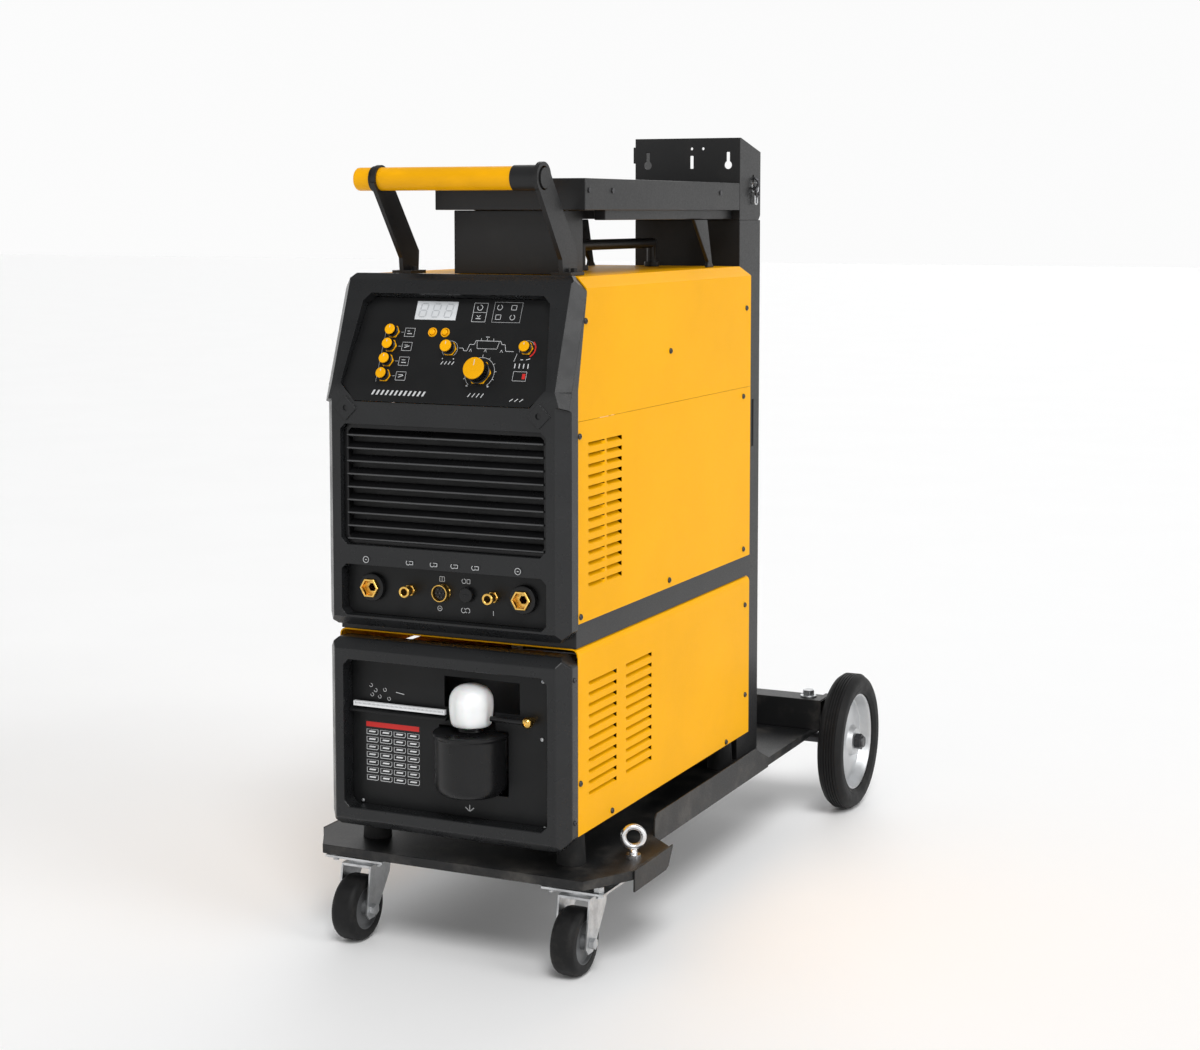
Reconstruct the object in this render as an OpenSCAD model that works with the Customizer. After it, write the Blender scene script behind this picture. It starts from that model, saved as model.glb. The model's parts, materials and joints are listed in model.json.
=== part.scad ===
// Water-cooled TIG welding set on a wheeled trolley.
// Millimetres. X is the width, Y runs from the front panel to the rear wheels, Z is up.
// Pieces are drawn with y = 0 at the front edge of the side sheets and z = 0 on the floor;
// from_front() then puts the origin under the middle of the whole set.

/* [Cases] */
// Width over the side sheets of both cases
case_w = 397; // [330:1:470]
// Length of the side sheets
case_l = 688; // [570:1:830]
// Height of the welder's lower side sheets
side_h = 291; // [242:1:350]
// Height of the welder's top cover
cover_h = 204; // [175:1:245]
// Height of the cooler's cover
cooler_h = 274; // [230:1:330]
// Height of the spacer between the two cases
plinth_h = 36; // [24:1:50]
// Thickness of the painted sheet
sheet_t = 2; // [1.2:0.1:3]
// Chamfer along the cover's long edges
cover_chamfer = 16; // [8:1:24]

/* [Front frames] */
// Depth of both front frames ahead of the side sheets
bezel_d = 42; // [34:1:54]
// Width of the frame around the openings
bezel_rim = 31; // [24:1:38]
// Backward lean of the frame beside the controls, degrees
lean = 20; // [12:1:24]
// Backward lean of the cover's front edge, degrees
edge_lean = 12; // [8:1:16]
// Backward lean of the control panel, degrees
panel_lean = 24; // [16:1:28]
// Height of the opening of the air grille
grille_h = 179; // [140:1:190]
// Number of grille slats
slat_n = 9; // [6:1:11]

/* [Controls] */
// Diameter of the small knobs
knob_d = 16; // [12:0.5:19]
// Height of the small knobs
knob_h = 14; // [10:0.5:18]
// Diameter of the current knob's skirt
dial_d = 33; // [26:0.5:40]
// Height of the current knob
dial_h = 22; // [16:0.5:28]
// Diameter of the knob spindles
spindle_d = 6; // [4:0.5:8]
// Diameter of the push buttons
button_d = 9; // [7:0.5:11]
// Travel of the push buttons
button_travel = 1.5; // [0.8:0.1:2.5]

/* [Weld sockets] */
// Bore of the brass weld sockets
socket_bore_d = 13.1; // [12:0.1:14]
// Depth of the bore
socket_bore_l = 30; // [24:1:36]
// Outer diameter of the insulating rings
socket_ring_d = 42; // [36:1:48]

/* [Coolant filler] */
// Diameter of the filler pot
pot_d = 108; // [90:1:124]
// Height of the filler pot
pot_h = 92; // [76:1:104]
// Diameter of the filler cap
cap_d = 65; // [58:1:80]
// Height of the filler cap
cap_h = 61; // [52:1:72]

/* [Trolley] */
// Height of the deck's top face above the floor
deck_z = 155; // [152:1:175]
// Thickness of the deck plate
deck_t = 4; // [3:0.5:6]
// Length of the deck behind the cases
tail_l = 322; // [290:1:380]
// Half width of the deck
deck_hw = 218; // [205:1:236]
// Half width of the deck's front wings
wing_hw = 262; // [248:1:285]
// Height of the case feet
feet_h = 56; // [44:1:66]
// Diameter of the rear wheels
wheel_d = 250; // [220:1:268]
// Width of the rear tyres
tyre_w = 46; // [36:1:54]
// Diameter of the rear axle
axle_d = 20; // [16:1:25]
// Diameter of the castor wheels
castor_d = 100; // [80:1:100]
// Width of the castor wheels
castor_w = 38; // [26:1:44]
// Offset of the castor wheel from its swivel axis
castor_trail = 32; // [24:1:40]
// Diameter of the castor axle bolts
castor_axle_d = 10; // [8:1:12]

/* [Column, shelf and handle] */
// Width of the rear column
column_w = 195; // [160:1:210]
// Depth of the rear column
column_d = 100; // [80:1:112]
// Height of the column's top above the floor
column_z = 1234; // [1220:1:1300]
// Width of the shelf
shelf_w = 247; // [210:1:290]
// Height of the shelf's side walls
shelf_h = 46; // [34:1:60]
// Height of the shelf's bottom above the welder's top
shelf_gap = 95; // [80:1:120]
// Diameter of the push handle's grip
grip_d = 34; // [28:1:40]
// Length of the push handle's grip
grip_l = 310; // [260:1:340]

/* [Clearances] */
// Radial clearance of turning fits
turn_gap = 0.05; // [0.02:0.01:0.1]
// Gap between a moving piece and a fixed one beside it
side_gap = 0.5; // [0.4:0.1:1]
// Seam between neighbouring covers
seam = 0.5; // [0.3:0.1:1]

/* [Hidden] */
$fn = 48;
eps = 1;                                     // how far a cut runs past a face

// Heights of the stack
half_w = case_w / 2;
bezel_proud = 1;                             // the front frames stand proud of the sheets
louvre_h = 7;                                // height of a louvre's mouth
louvre_in = 6.8;                             // how far its flap reaches inwards
cooler_z0 = deck_z + feet_h;
cooler_z1 = cooler_z0 + cooler_h;
welder_z0 = cooler_z1 + plinth_h;
seam_z = welder_z0 + side_h;
top_z = seam_z + cover_h;
bezel_z0 = welder_z0 - 23;                   // the welder's frame hangs over the spacer
cooler_bezel_z0 = cooler_z0 - 18;
cooler_bezel_z1 = cooler_z1 - 7;
kink_z = top_z - 160;                        // where the front starts to lean back
lean_top_y = (top_z - kink_z) * tan(edge_lean);

// Openings of the welder's front frame
open_hw = half_w + bezel_proud - bezel_rim;
plug_z0 = bezel_z0 + 17;
plug_h = 76;
grille_z0 = plug_z0 + plug_h + 29;
grille_z1 = grille_z0 + grille_h;
panel_y = -bezel_d + 7;                      // the control panel's face at the kink
panel_t = 3;
panel_lo = -24;                              // panel edges, measured along its face
panel_hi = 139;
panel_hw = half_w - 30.5;                    // half widths at the kink and at the top
panel_top_hw = half_w - 46.5;
plug_y = -22;                                // face of the connector panel
plug_z = plug_z0 + 41;                       // height of the row of connectors
weld_socket_x = half_w - 73.5;
torch_x = -9;
blank_x = 33;
tail_x = [-(weld_socket_x - torch_x) / 2 + 6, (weld_socket_x + blank_x) / 2 - 3];
balance_x = panel_hw - 45;

// Trolley
skirt_h = 14;
wheel_r = wheel_d / 2;
axle_y = case_l + 340;
axle_z = wheel_r;
axle_hl = 300;                               // half length of the axle, nuts included
tyre_x = 270;                                // middle of a rear tyre
deck_front = -25;
deck_end = case_l + tail_l;
beam_w = 50;
beam_h = 56;
beam_y = deck_end - beam_w;
beam_hw = 236;
castor_x = 184;
castor_y = 50;                               // swivel axis
castor_plate_z = castor_d + 24;              // underside of the castor's top plate
castor_plate_t = 4;
column_x = 172.5;                            // right side of the column and the shelf
column_y = case_l + 12;
column_t = 3;
bracket_h = 140;
shelf_z = top_z + shelf_gap;
shelf_front = 80;

// Coolant filler
pot_x = 36;
pot_y = -20;
pot_flange_d = pot_d + 6;
pot_z1 = cooler_z0 + 143;
pot_z0 = pot_z1 - pot_h;
cap_z = pot_z1 + 9.5;                          // the cap rides on the threaded neck
neck_r = 20;
ball_x = pot_x + 96;                           // drain rod's ball end
cooler_panel_y = -14;

// Push handle
grip_y = -6;
grip_z = top_z + 140;
arm_x = [-118, 146];
arm_t = 7;
foot_y = 77;

// Carry handle
carry_x = 50;
carry_y = 322;
carry_l = 284;
carry_d = 17;
carry_h = 40;                                // height of its axis over the welder

// Rear panel
rear_y = case_l - 6;
fan_x = -half_w + 88.5;
fan_z = welder_z0 + 250;
fan_d = 150;
switch_x = -70;                              // rear features stand clear of the column
switch_z = welder_z0 + 125;
gland_x = -half_w + 43.5;
inlet_x = gland_x + 43;

// The whole set's middle, front to back
y_min = pot_y - pot_flange_d / 2;
y_max = axle_y + wheel_r;
y_shift = -(y_min + y_max) / 2;

knob_rows = [84, 62, 39, 16];                // small knobs, along the panel's face
knob_x = -100;
slope_spot = [-1, 60];
dial_spot = [55, 25];
display_spot = [-36, 119];
display_size = [68, 29];

module from_front() translate([0, y_shift, 0]) children();

// Moves children onto the control panel's face, their +Z pointing out of it
module on_panel(x, s)
    translate([0, panel_y, kink_z]) rotate([-panel_lean, 0, 0])
        translate([x, 0, s]) rotate([90, 0, 0]) children();

// A prism along Y from an outline in X and Z
module along_y(y0, y1) translate([0, y1, 0]) rotate([90, 0, 0]) linear_extrude(y1 - y0) children();

// A prism along X from an outline in Y and Z
module along_x(x0, x1) translate([x0, 0, 0]) rotate([90, 0, 90]) linear_extrude(x1 - x0) children();

// A rectangle with its corners cut off: c1 at the bottom, c2 at the top
module cut_rect(hw, z0, z1, c1, c2)
    polygon([[-hw + c1, z0], [hw - c1, z0], [hw, z0 + c1], [hw, z1 - c2], [hw - c2, z1],
        [-hw + c2, z1], [-hw, z1 - c2], [-hw, z0 + c1]]);

module rod_y(x, z, y0, y1, d) translate([x, y0, z]) rotate([-90, 0, 0]) cylinder(d = d, h = y1 - y0);
module rod_x(y, z, x0, x1, d) translate([x0, y, z]) rotate([0, 90, 0]) cylinder(d = d, h = x1 - x0);
module block(x0, x1, y0, y1, z0, z1) translate([x0, y0, z0]) cube([x1 - x0, y1 - y0, z1 - z0]);
module hex(d, h) cylinder(d = d, h = h, $fn = 6);

// ---------------------------------------------------------------- trolley

// Outline of the deck, drawn in by i
module deck_outline(i)
    polygon([[-deck_hw + i, deck_front + i], [deck_hw - i, deck_front + i],
        [wing_hw - i, 50 + i], [wing_hw - i, 186 - i], [deck_hw - i, 226 - i],
        [deck_hw - i, deck_end - i], [-deck_hw + i, deck_end - i], [-deck_hw + i, 226 - i],
        [-wing_hw + i, 186 - i], [-wing_hw + i, 50 + i]]);

module deck_plate() color("#1c1d1e") from_front() difference() {
    translate([0, 0, deck_z - skirt_h]) linear_extrude(skirt_h) deck_outline(0);
    translate([0, 0, deck_z - skirt_h - eps]) linear_extrude(skirt_h - deck_t + eps)
        deck_outline(3);
    for (s = [-1, 1]) translate([s * (wing_hw - 26), 112, deck_z - skirt_h - eps])
        cylinder(r = 5.1, h = skirt_h + 2 * eps);
}

// Deep skirts under the wings and the upright strips beside the cooler
module side_skirts() color("#202122") from_front() for (s = [-1, 1]) {
    along_x(s > 0 ? wing_hw + 0.2 : -wing_hw - 3.2, s > 0 ? wing_hw + 3.2 : -wing_hw - 0.2)
        polygon([[52, deck_z], [196, deck_z], [178, deck_z - 28], [168, deck_z - 32],
            [52, deck_z - 32]]);
    along_x(s > 0 ? deck_hw + 0.2 : -deck_hw - 3.2, s > 0 ? deck_hw + 3.2 : -deck_hw - 0.2)
        polygon([[228, deck_z - skirt_h], [case_l + 40, deck_z - skirt_h],
            [case_l + 40, deck_z + 4], [case_l - 22, deck_z + 32], [236, deck_z + 32],
            [228, deck_z + 24]]);
}

// Box beam across the tail, with two plates that carry the axle
module axle_beam() color("#1c1d1e") from_front() {
    difference() {
        block(-beam_hw, beam_hw, beam_y, beam_y + beam_w, deck_z, deck_z + beam_h);
        block(-beam_hw - eps, beam_hw + eps, beam_y + 4, beam_y + beam_w - 4,
            deck_z + 4, deck_z + beam_h - 4);
    }
    for (s = [-1, 1]) difference() {
        along_x(s * 229 - 4, s * 229 + 4)
            polygon([[beam_y + beam_w, deck_z + beam_h], [beam_y + beam_w, axle_z - 24],
                [axle_y + 14, axle_z - 24], [axle_y + 24, axle_z - 12],
                [axle_y + 24, axle_z + 22], [beam_y + beam_w + 14, deck_z + beam_h]]);
        rod_x(axle_y, axle_z, -beam_hw - eps, beam_hw + eps, axle_d + 2 * turn_gap);
    }
}

module rear_axle() color("silver") from_front() {
    rod_x(axle_y, axle_z, -axle_hl, axle_hl, axle_d);
    for (s = [-1, 1]) translate([s * (axle_hl - 9.5), axle_y, axle_z]) rotate([0, 90, 0])
        translate([0, 0, -5.5]) difference() {
            hex(30, 11);
            translate([0, 0, -eps]) cylinder(d = axle_d - 1, h = 11 + 2 * eps);
        }
}

// A wheel is drawn about its own centre with its outer face towards +X
module tyre() rotate([0, 90, 0]) rotate_extrude($fn = 96)
    polygon([[wheel_r * 0.71, -tyre_w / 2 + 6], [wheel_r * 0.78, -tyre_w / 2 + 1],
        [wheel_r * 0.9, -tyre_w / 2], [wheel_r - 5, -tyre_w / 2 + 5], [wheel_r, -tyre_w / 2 + 15],
        [wheel_r, tyre_w / 2 - 15], [wheel_r - 5, tyre_w / 2 - 5], [wheel_r * 0.9, tyre_w / 2],
        [wheel_r * 0.78, tyre_w / 2 - 1], [wheel_r * 0.71, tyre_w / 2 - 6]]);

module rim() rotate([0, 90, 0]) rotate_extrude($fn = 96)
    polygon([[axle_d / 2 + turn_gap, -18], [22, -18], [24, -6],
        [wheel_r * 0.6, -tyre_w / 2 + 14], [wheel_r * 0.655, -tyre_w / 2 + 7],
        [wheel_r * 0.708, -tyre_w / 2 + 7], [wheel_r * 0.708, tyre_w / 2 - 7],
        [wheel_r * 0.68, tyre_w / 2 - 7], [wheel_r * 0.655, tyre_w / 2 - 13],
        [wheel_r * 0.63, -tyre_w / 2 + 19], [30, 4], [24, 14], [axle_d / 2 + turn_gap, 14]]);

module at_wheel(s) translate([s * tyre_x, axle_y, axle_z]) rotate([0, 0, s > 0 ? 0 : 180]) children();
module rear_tyre_left() color("#151515") from_front() at_wheel(-1) tyre();
module rear_tyre_right() color("#151515") from_front() at_wheel(1) tyre();
module rear_rim_left() color("#b9bcc0") from_front() at_wheel(-1) rim();
module rear_rim_right() color("#b9bcc0") from_front() at_wheel(1) rim();

// U channel, open to the rear, that the gas cylinder leans into
module rear_column() color("#1d1e20") from_front() {
    difference() {
        block(column_x - column_w, column_x, column_y, column_y + column_d, deck_z, column_z - bracket_h);
        block(column_x - column_w + column_t, column_x - column_t, column_y + column_t,
            column_y + column_d + eps, deck_z - eps, column_z);
        block(column_x - 2, column_x + eps, column_y + 56, column_y + 72,
            seam_z - 112, seam_z - 30);
    }
    block(column_x - column_w + 8, column_x - 8, column_y + 8, column_y + column_d - 6,
        deck_z, deck_z + 5);
}

// Bracket over the column, with pear-shaped slots for the cylinder chain
module cylinder_bracket() color("#1d1e20") from_front() difference() {
    union() {
        difference() {
            along_x(column_x - column_w, column_x)
                polygon([[column_y, column_z - bracket_h], [column_y + column_d - 8,
                    column_z - bracket_h], [column_y + column_d, column_z - bracket_h + 8],
                    [column_y + column_d, column_z - 22], [column_y + 6, column_z],
                    [column_y, column_z]]);
            block(column_x - column_w + column_t, column_x - column_t, column_y + column_t,
                column_y + column_d + eps, column_z - bracket_h - eps, column_z + eps);
        }
        block(column_x - column_w - 9, column_x - column_w + 1, column_y + 12, column_y + 40,
            column_z - 42, column_z - 14);
    }
    for (x = [column_x - column_w + 24, column_x - 22]) {
        rod_y(x, column_z - 46, column_y - eps, column_y + column_t + eps, 14);
        block(x - 3, x + 3, column_y - eps, column_y + column_t + eps, column_z - 46, column_z - 24);
    }
    block(column_x - 92, column_x - 86, column_y - eps, column_y + column_t + eps,
        column_z - 52, column_z - 30);
    for (x = [column_x - 89, column_x - 68])
        rod_y(x, column_z - 18, column_y - eps, column_y + column_t + eps, 5);
    rod_x(column_y + 64, column_z - 84, column_x - column_t - eps, column_x + eps, 14);
    block(column_x - column_t - eps, column_x + eps, column_y + 61, column_y + 67,
        column_z - 84, column_z - 62);
}

// Open tray from the front support back to the column, with a narrower rail beneath
module tray_shelf() color("#1f2022") from_front() {
    difference() {
        block(column_x - shelf_w, column_x, shelf_front, column_y - seam, shelf_z, shelf_z + shelf_h);
        block(column_x - shelf_w + 2.5, column_x - 2.5, shelf_front + 2.5, column_y - seam - 2.5,
            shelf_z + 2.5, shelf_z + shelf_h + eps);
    }
    for (x = [column_x - shelf_w + 14, column_x - 32])
        block(x, x + 18, shelf_front + 100, column_y - seam, shelf_z - 15, shelf_z);
}

module shelf_supports() color("#232427") from_front() {
    // hollow front support, open to the rear
    difference() {
        block(column_x - 226, column_x - 44, 100, 166, top_z + seam, shelf_z - seam);
        block(column_x - 223, column_x - 47, 103, 166 + eps, top_z + 3, shelf_z - 3);
    }
    // slanting stays near the rear, each with a foot on the welder's top
    for (x = [column_x - shelf_w + 17, column_x - 13]) along_x(x, x + 6)
        polygon([[column_y - 186, shelf_z - 15 - seam], [column_y - 130, shelf_z - 15 - seam],
            [column_y - 108, top_z + 8], [column_y - 100, top_z + seam],
            [column_y - 128, top_z + seam], [column_y - 124, top_z + 10]]);
}

// Castor top plates with the spacer nuts and bolts that hang them under the deck
module castor_plates() color("#c3c5c6") from_front() for (s = [-1, 1])
    translate([s * castor_x, castor_y, 0]) {
        difference() {
            union() {
                translate([-50, -42, castor_plate_z]) cube([100, 84, castor_plate_t]);
                for (i = [-1, 1], j = [-1, 1]) translate([i * 38, j * 30, castor_plate_z - 6])
                    cylinder(d = 9, h = deck_z - deck_t - castor_plate_z + 6 - 0.1);
            }
            translate([0, 0, castor_plate_z - eps])
                cylinder(r = 12 + turn_gap, h = castor_plate_t + 2 * eps);
        }
        for (i = [-1, 1], j = [-1, 1]) translate([i * 38, j * 30, castor_plate_z + castor_plate_t])
            hex(17, 8);
    }

// Swivel fork with its kingpin, and the axle bolt with its nut
module fork() {
    cheek_x = castor_w / 2 + 4;
    translate([0, 0, castor_plate_z - 8]) cylinder(d = 56, h = 8 - side_gap);
    translate([0, 0, castor_plate_z - 9]) cylinder(r = 12, h = 9 + castor_plate_t + 3);
    translate([0, 0, castor_plate_z + castor_plate_t + side_gap]) cylinder(d = 30, h = 3);
    block(-cheek_x - 3, cheek_x + 3, -34, 26, castor_plate_z - 12, castor_plate_z - 8);
    for (s = [-1, 1]) difference() {
        along_x(s * (cheek_x + 1.5) - 1.5, s * (cheek_x + 1.5) + 1.5)
            polygon([[-34, castor_plate_z - 8], [26, castor_plate_z - 8],
                [22, castor_plate_z - 30], [-castor_trail + 15, castor_d / 2 - 8],
                [-castor_trail + 8, castor_d / 2 - 15], [-castor_trail - 8, castor_d / 2 - 15],
                [-castor_trail - 15, castor_d / 2 - 6]]);
        rod_x(-castor_trail, castor_d / 2, s * (cheek_x + 1.5) - 3, s * (cheek_x + 1.5) + 3,
            castor_axle_d + 0.1);
    }
    rod_x(-castor_trail, castor_d / 2, -cheek_x - 3, cheek_x + 8, castor_axle_d);
    for (x = [-cheek_x - 11, cheek_x + 3.1]) translate([x, -castor_trail, castor_d / 2])
        rotate([0, 90, 0]) hex(17, 8);
}

module castor_wheel() rotate([0, 90, 0]) rotate_extrude($fn = 72) polygon([
    [castor_axle_d / 2 + turn_gap, -castor_w / 2 - 3], [10, -castor_w / 2 - 3],
    [12, -castor_w / 2 + 5], [30, -castor_w / 2 + 6], [33, -castor_w / 2],
    [castor_d / 2 - 6, -castor_w / 2], [castor_d / 2, -castor_w / 2 + 8],
    [castor_d / 2, castor_w / 2 - 8], [castor_d / 2 - 6, castor_w / 2], [33, castor_w / 2],
    [30, castor_w / 2 - 6], [12, castor_w / 2 - 5], [10, castor_w / 2 + 3],
    [castor_axle_d / 2 + turn_gap, castor_w / 2 + 3]]);

module at_castor(s) translate([s * castor_x, castor_y, 0]) children();
module castor_fork_left() color("#c3c5c6") from_front() at_castor(-1) fork();
module castor_fork_right() color("#c3c5c6") from_front() at_castor(1) fork();
module castor_wheel_left() color("#161616") from_front() at_castor(-1)
    translate([0, -castor_trail, castor_d / 2]) castor_wheel();
module castor_wheel_right() color("#161616") from_front() at_castor(1)
    translate([0, -castor_trail, castor_d / 2]) castor_wheel();

// Lifting eye bolted through the right wing
module eye_bolt() color("#d9dadb") from_front() translate([wing_hw - 26, 112, 0]) {
    translate([0, 0, deck_z + 31]) rotate([90, 0, 25]) rotate_extrude()
        translate([15, 0]) circle(d = 9, $fn = 24);
    translate([0, 0, deck_z]) cylinder(d = 22, h = 5);
    translate([0, 0, deck_z + 4]) cylinder(d = 12, h = 10);
    translate([0, 0, deck_z - deck_t - 12]) cylinder(r = 5, h = deck_t + 14);
    translate([0, 0, deck_z - deck_t - 9]) hex(17, 8);
}

// Bolts of the column and the beam, rivets of the shelf, and the chain hook
module fasteners() color("#8d8f91") from_front() {
    for (s = [-1, 1]) translate([s * 205, beam_y + beam_w / 2, deck_z + beam_h]) {
        cylinder(d = 30, h = 3);
        hex(22, 13);
    }
    for (x = [column_x - column_w + 30, column_x - 30], y = [30, 75])
        translate([x, column_y + y, deck_z + 5]) hex(16, 7);
    for (y = [shelf_front + 14, shelf_front + 96, column_y - 90])
        rod_x(y, shelf_z + shelf_h * 0.62, column_x, column_x + 1.6, 8);
    translate([column_x + 0.5, column_y + 64, column_z - 77]) rotate([90, 0, 0])
        rotate_extrude() translate([9, 0]) circle(d = 4.5, $fn = 24);
    translate([column_x + 8, column_y + 64, column_z - 91]) rotate([0, 90, 0])
        rotate_extrude() translate([8, 0]) circle(d = 4, $fn = 24);
}

module case_feet() color("#141414") from_front()
    for (s = [-1, 1], y = [48, case_l - 48]) translate([s * (half_w - 34), y, deck_z])
        cylinder(d1 = 44, d2 = 38, h = feet_h);

// ---------------------------------------------------------------- cooler

module spacer_plinth() color("#202123") from_front() difference() {
    block(-half_w + 3, half_w - 3, seam, case_l - 3, cooler_z1, welder_z0);
    block(-half_w + 11, half_w - 11, 9, case_l - 11, cooler_z1 - eps, welder_z0 + eps);
}

module cooler_base() color("#2a2b2d") from_front() difference() {
    block(-half_w + sheet_t + seam, half_w - sheet_t - seam, 0, case_l - 8, cooler_z0, cooler_z0 + 22);
    block(-half_w + sheet_t + 3, half_w - sheet_t - 3, 3, case_l - 11, cooler_z0 + 3, cooler_z0 + 22 + eps);
}

// One louvre: a flap pressed inwards, joined to the sheet along its lower edge
module louvre(s, y0, y1, z)
    along_y(y0, y1) polygon([[s * (half_w - 0.3), z - louvre_h / 2 - 1.5],
        [s * (half_w - sheet_t), z - louvre_h / 2 - 1.5],
        [s * (half_w - louvre_in - 1.2), z + louvre_h / 2 - 0.4],
        [s * (half_w - louvre_in), z + louvre_h / 2 + 0.3]]);

module louvre_slot(s, y0, y1, z)
    block(s > 0 ? half_w - sheet_t - 1 : -half_w - 1, s > 0 ? half_w + 1 : -half_w + sheet_t + 1,
        y0, y1, z - louvre_h / 2, z + louvre_h / 2);

// A sheet wall at one side with rows of louvres; columns is a list of [y0, y1, top z]
module louvred_wall(s, z0, z1, columns, rows, pitch) {
    difference() {
        block(s > 0 ? half_w - sheet_t : -half_w, s > 0 ? half_w : -half_w + sheet_t,
            seam, case_l, z0, z1);
        for (c = columns, i = [0 : rows - 1]) louvre_slot(s, c[0], c[1], c[2] - i * pitch);
    }
    for (c = columns, i = [0 : rows - 1]) louvre(s, c[0] + 0.2, c[1] - 0.2, c[2] - i * pitch);
}

// Inverted U of painted sheet with louvred sides
module cooler_cover() color("#f2ae05") from_front() {
    top = cooler_z1;
    for (s = [-1, 1])
        louvred_wall(s, cooler_z0, top - 12, [[36, 135, top - 57], [168, 266, top - 57]], 11, 16.3);
    difference() {
        along_y(seam, case_l) cut_rect(half_w, top - 12, top, 0, 10);
        along_y(-eps, case_l + eps) cut_rect(half_w - sheet_t, top - 12 - eps, top - sheet_t, 0, 9);
    }
}

// Front frame: chamfered outline, chamfered front edges and a stepped opening
module frame_block(z0, z1, c1, c2, depth) intersection() {
    along_y(-depth, -seam) cut_rect(half_w + bezel_proud, z0, z1, c1, c2);
    translate([0, 0, z0]) linear_extrude(z1 - z0)
        polygon([[-half_w - bezel_proud, 0], [-half_w - bezel_proud, -depth + 20],
            [-half_w - bezel_proud + 17, -depth], [half_w + bezel_proud - 17, -depth],
            [half_w + bezel_proud, -depth + 20], [half_w + bezel_proud, 0]]);
    along_x(-half_w - 5, half_w + 5)
        polygon([[0, z0], [-depth + 14, z0], [-depth, z0 + 14], [-depth, z1 - 14],
            [-depth + 14, z1], [0, z1]]);
}

module cooler_bezel() color("#2f3134") from_front() difference() {
    frame_block(cooler_bezel_z0, cooler_bezel_z1, 18, 16, bezel_d);
    along_y(-bezel_d - eps, eps)
        cut_rect(open_hw, cooler_bezel_z0 + bezel_rim, cooler_bezel_z1 - bezel_rim, 9, 9);
    along_y(cooler_panel_y, eps)
        cut_rect(half_w - 6, cooler_bezel_z0 + 7, cooler_bezel_z1 - 7, 16, 14);
}

// Recessed panel with a ledge and a bay for the filler
module cooler_front_panel() color("#26272a") from_front() difference() {
    union() {
        along_y(cooler_panel_y + 0.3, cooler_panel_y + 3.3)
            cut_rect(half_w - 8, cooler_bezel_z0 + 9, cooler_bezel_z1 - 9, 15, 13);
        along_x(-open_hw + 1, pot_x - 40)
            polygon([[cooler_panel_y + 1, pot_z1 + 12], [cooler_panel_y - 12, pot_z1 + 12],
                [cooler_panel_y - 12, pot_z1 + 15], [cooler_panel_y + 1, pot_z1 + 23]]);
    }
    block(pot_x - 48, pot_x + 76, cooler_panel_y - eps, cooler_panel_y + 4,
        pot_z1 + 30, cap_z + cap_h + 6);
    translate([pot_x, pot_y, pot_z0 - eps]) cylinder(d = pot_flange_d + 1, h = pot_h + 3 + eps);
    translate([pot_x, pot_y, pot_z1]) cylinder(d = cap_d + 8, h = cap_z - pot_z1 + cap_h + 6);
    rod_y(ball_x, pot_z1 + 24, cooler_panel_y - eps, cooler_panel_y + 4, 10.2);
}

// Filler pot with a rounded bottom, a flange and a neck for the cap
module filler_pot() color("#2b2c2f") from_front() translate([pot_x, pot_y, 0]) {
    r = pot_d / 2;
    translate([0, 0, pot_z0]) rotate_extrude($fn = 96) difference() {
        polygon([[0, 0], [r - 16, 0], [r - 7, 3], [r - 2, 10], [r, 18], [r, pot_h - 6],
            [pot_flange_d / 2, pot_h - 4], [pot_flange_d / 2, pot_h], [neck_r, pot_h],
            [neck_r, pot_h + 22], [0, pot_h + 22]]);
        translate([-1, 4]) square([neck_r - 3, pot_h + 20]);
        translate([-1, 4]) square([r - 3, pot_h - 12]);
    }
}

// Hollow screw cap with three broad grips
module filler_cap() color("#f1f2f0") from_front() translate([pot_x, pot_y, cap_z]) {
    r = cap_d / 2;
    difference() {
        rotate_extrude($fn = 96) polygon([[0, 0], [r - 6, 0], [r - 4, 1], [r - 1, 12], [r, 30],
            [r - 1, cap_h - 16], [r - 6, cap_h - 7], [r - 14, cap_h - 1], [0, cap_h]]);
        translate([0, 0, -eps]) cylinder(r = neck_r + side_gap, h = 14 + eps);
    }
}

module coolant_tank() color("#c9ccd0") from_front()
    block(-150, 110, 60, 210, cooler_z0 + 26, cooler_z0 + 216);

// Finned heat exchanger with two headers
module radiator() color("#9aa0a5") from_front() {
    for (x = [-150, 128]) block(x, x + 22, 470, 520, cooler_z0 + 30, cooler_z0 + 226);
    for (i = [0 : 12]) block(-128, 128, 474, 516, cooler_z0 + 36 + i * 15, cooler_z0 + 38 + i * 15);
    for (i = [0 : 3]) rod_y(-96 + i * 64, cooler_z0 + 50, 440, 474, 16);
}

// Pump head, motor and feet
module coolant_pump() color("#54585c") from_front() {
    rod_y(0, cooler_z0 + 90, 250, 290, 96);
    rod_y(0, cooler_z0 + 90, 290, 400, 84);
    rod_y(0, cooler_z0 + 90, 400, 412, 60);
    block(-48, 48, 300, 390, cooler_z0 + 25, cooler_z0 + 60);
}

// ---------------------------------------------------------------- welder

module welder_base() color("#2a2b2d") from_front() difference() {
    block(-half_w + sheet_t + seam, half_w - sheet_t - seam, 6, case_l - 8, welder_z0, welder_z0 + 22);
    block(-half_w + sheet_t + 3, half_w - sheet_t - 3, 9, case_l - 11, welder_z0 + 3, welder_z0 + 22 + eps);
}

module welder_sides() color("#f5b208") from_front() for (s = [-1, 1])
    louvred_wall(s, welder_z0, seam_z - seam,
        [[35, 92, seam_z - 36], [98, 153, seam_z - 36]], 14, 15.7);

// Side outline of the top cover: leaning front edge and a cut rear corner
module cover_side(t, out)
    polygon([[seam - out, seam_z - out], [case_l + out, seam_z - out],
        [case_l + out, top_z - 14 - 1.5 * t], [case_l, top_z - 14 - 1.5 * t],
        [case_l - 14, top_z - t], [lean_top_y + seam - out, top_z - t],
        [seam - out, kink_z - t]]);

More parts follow.
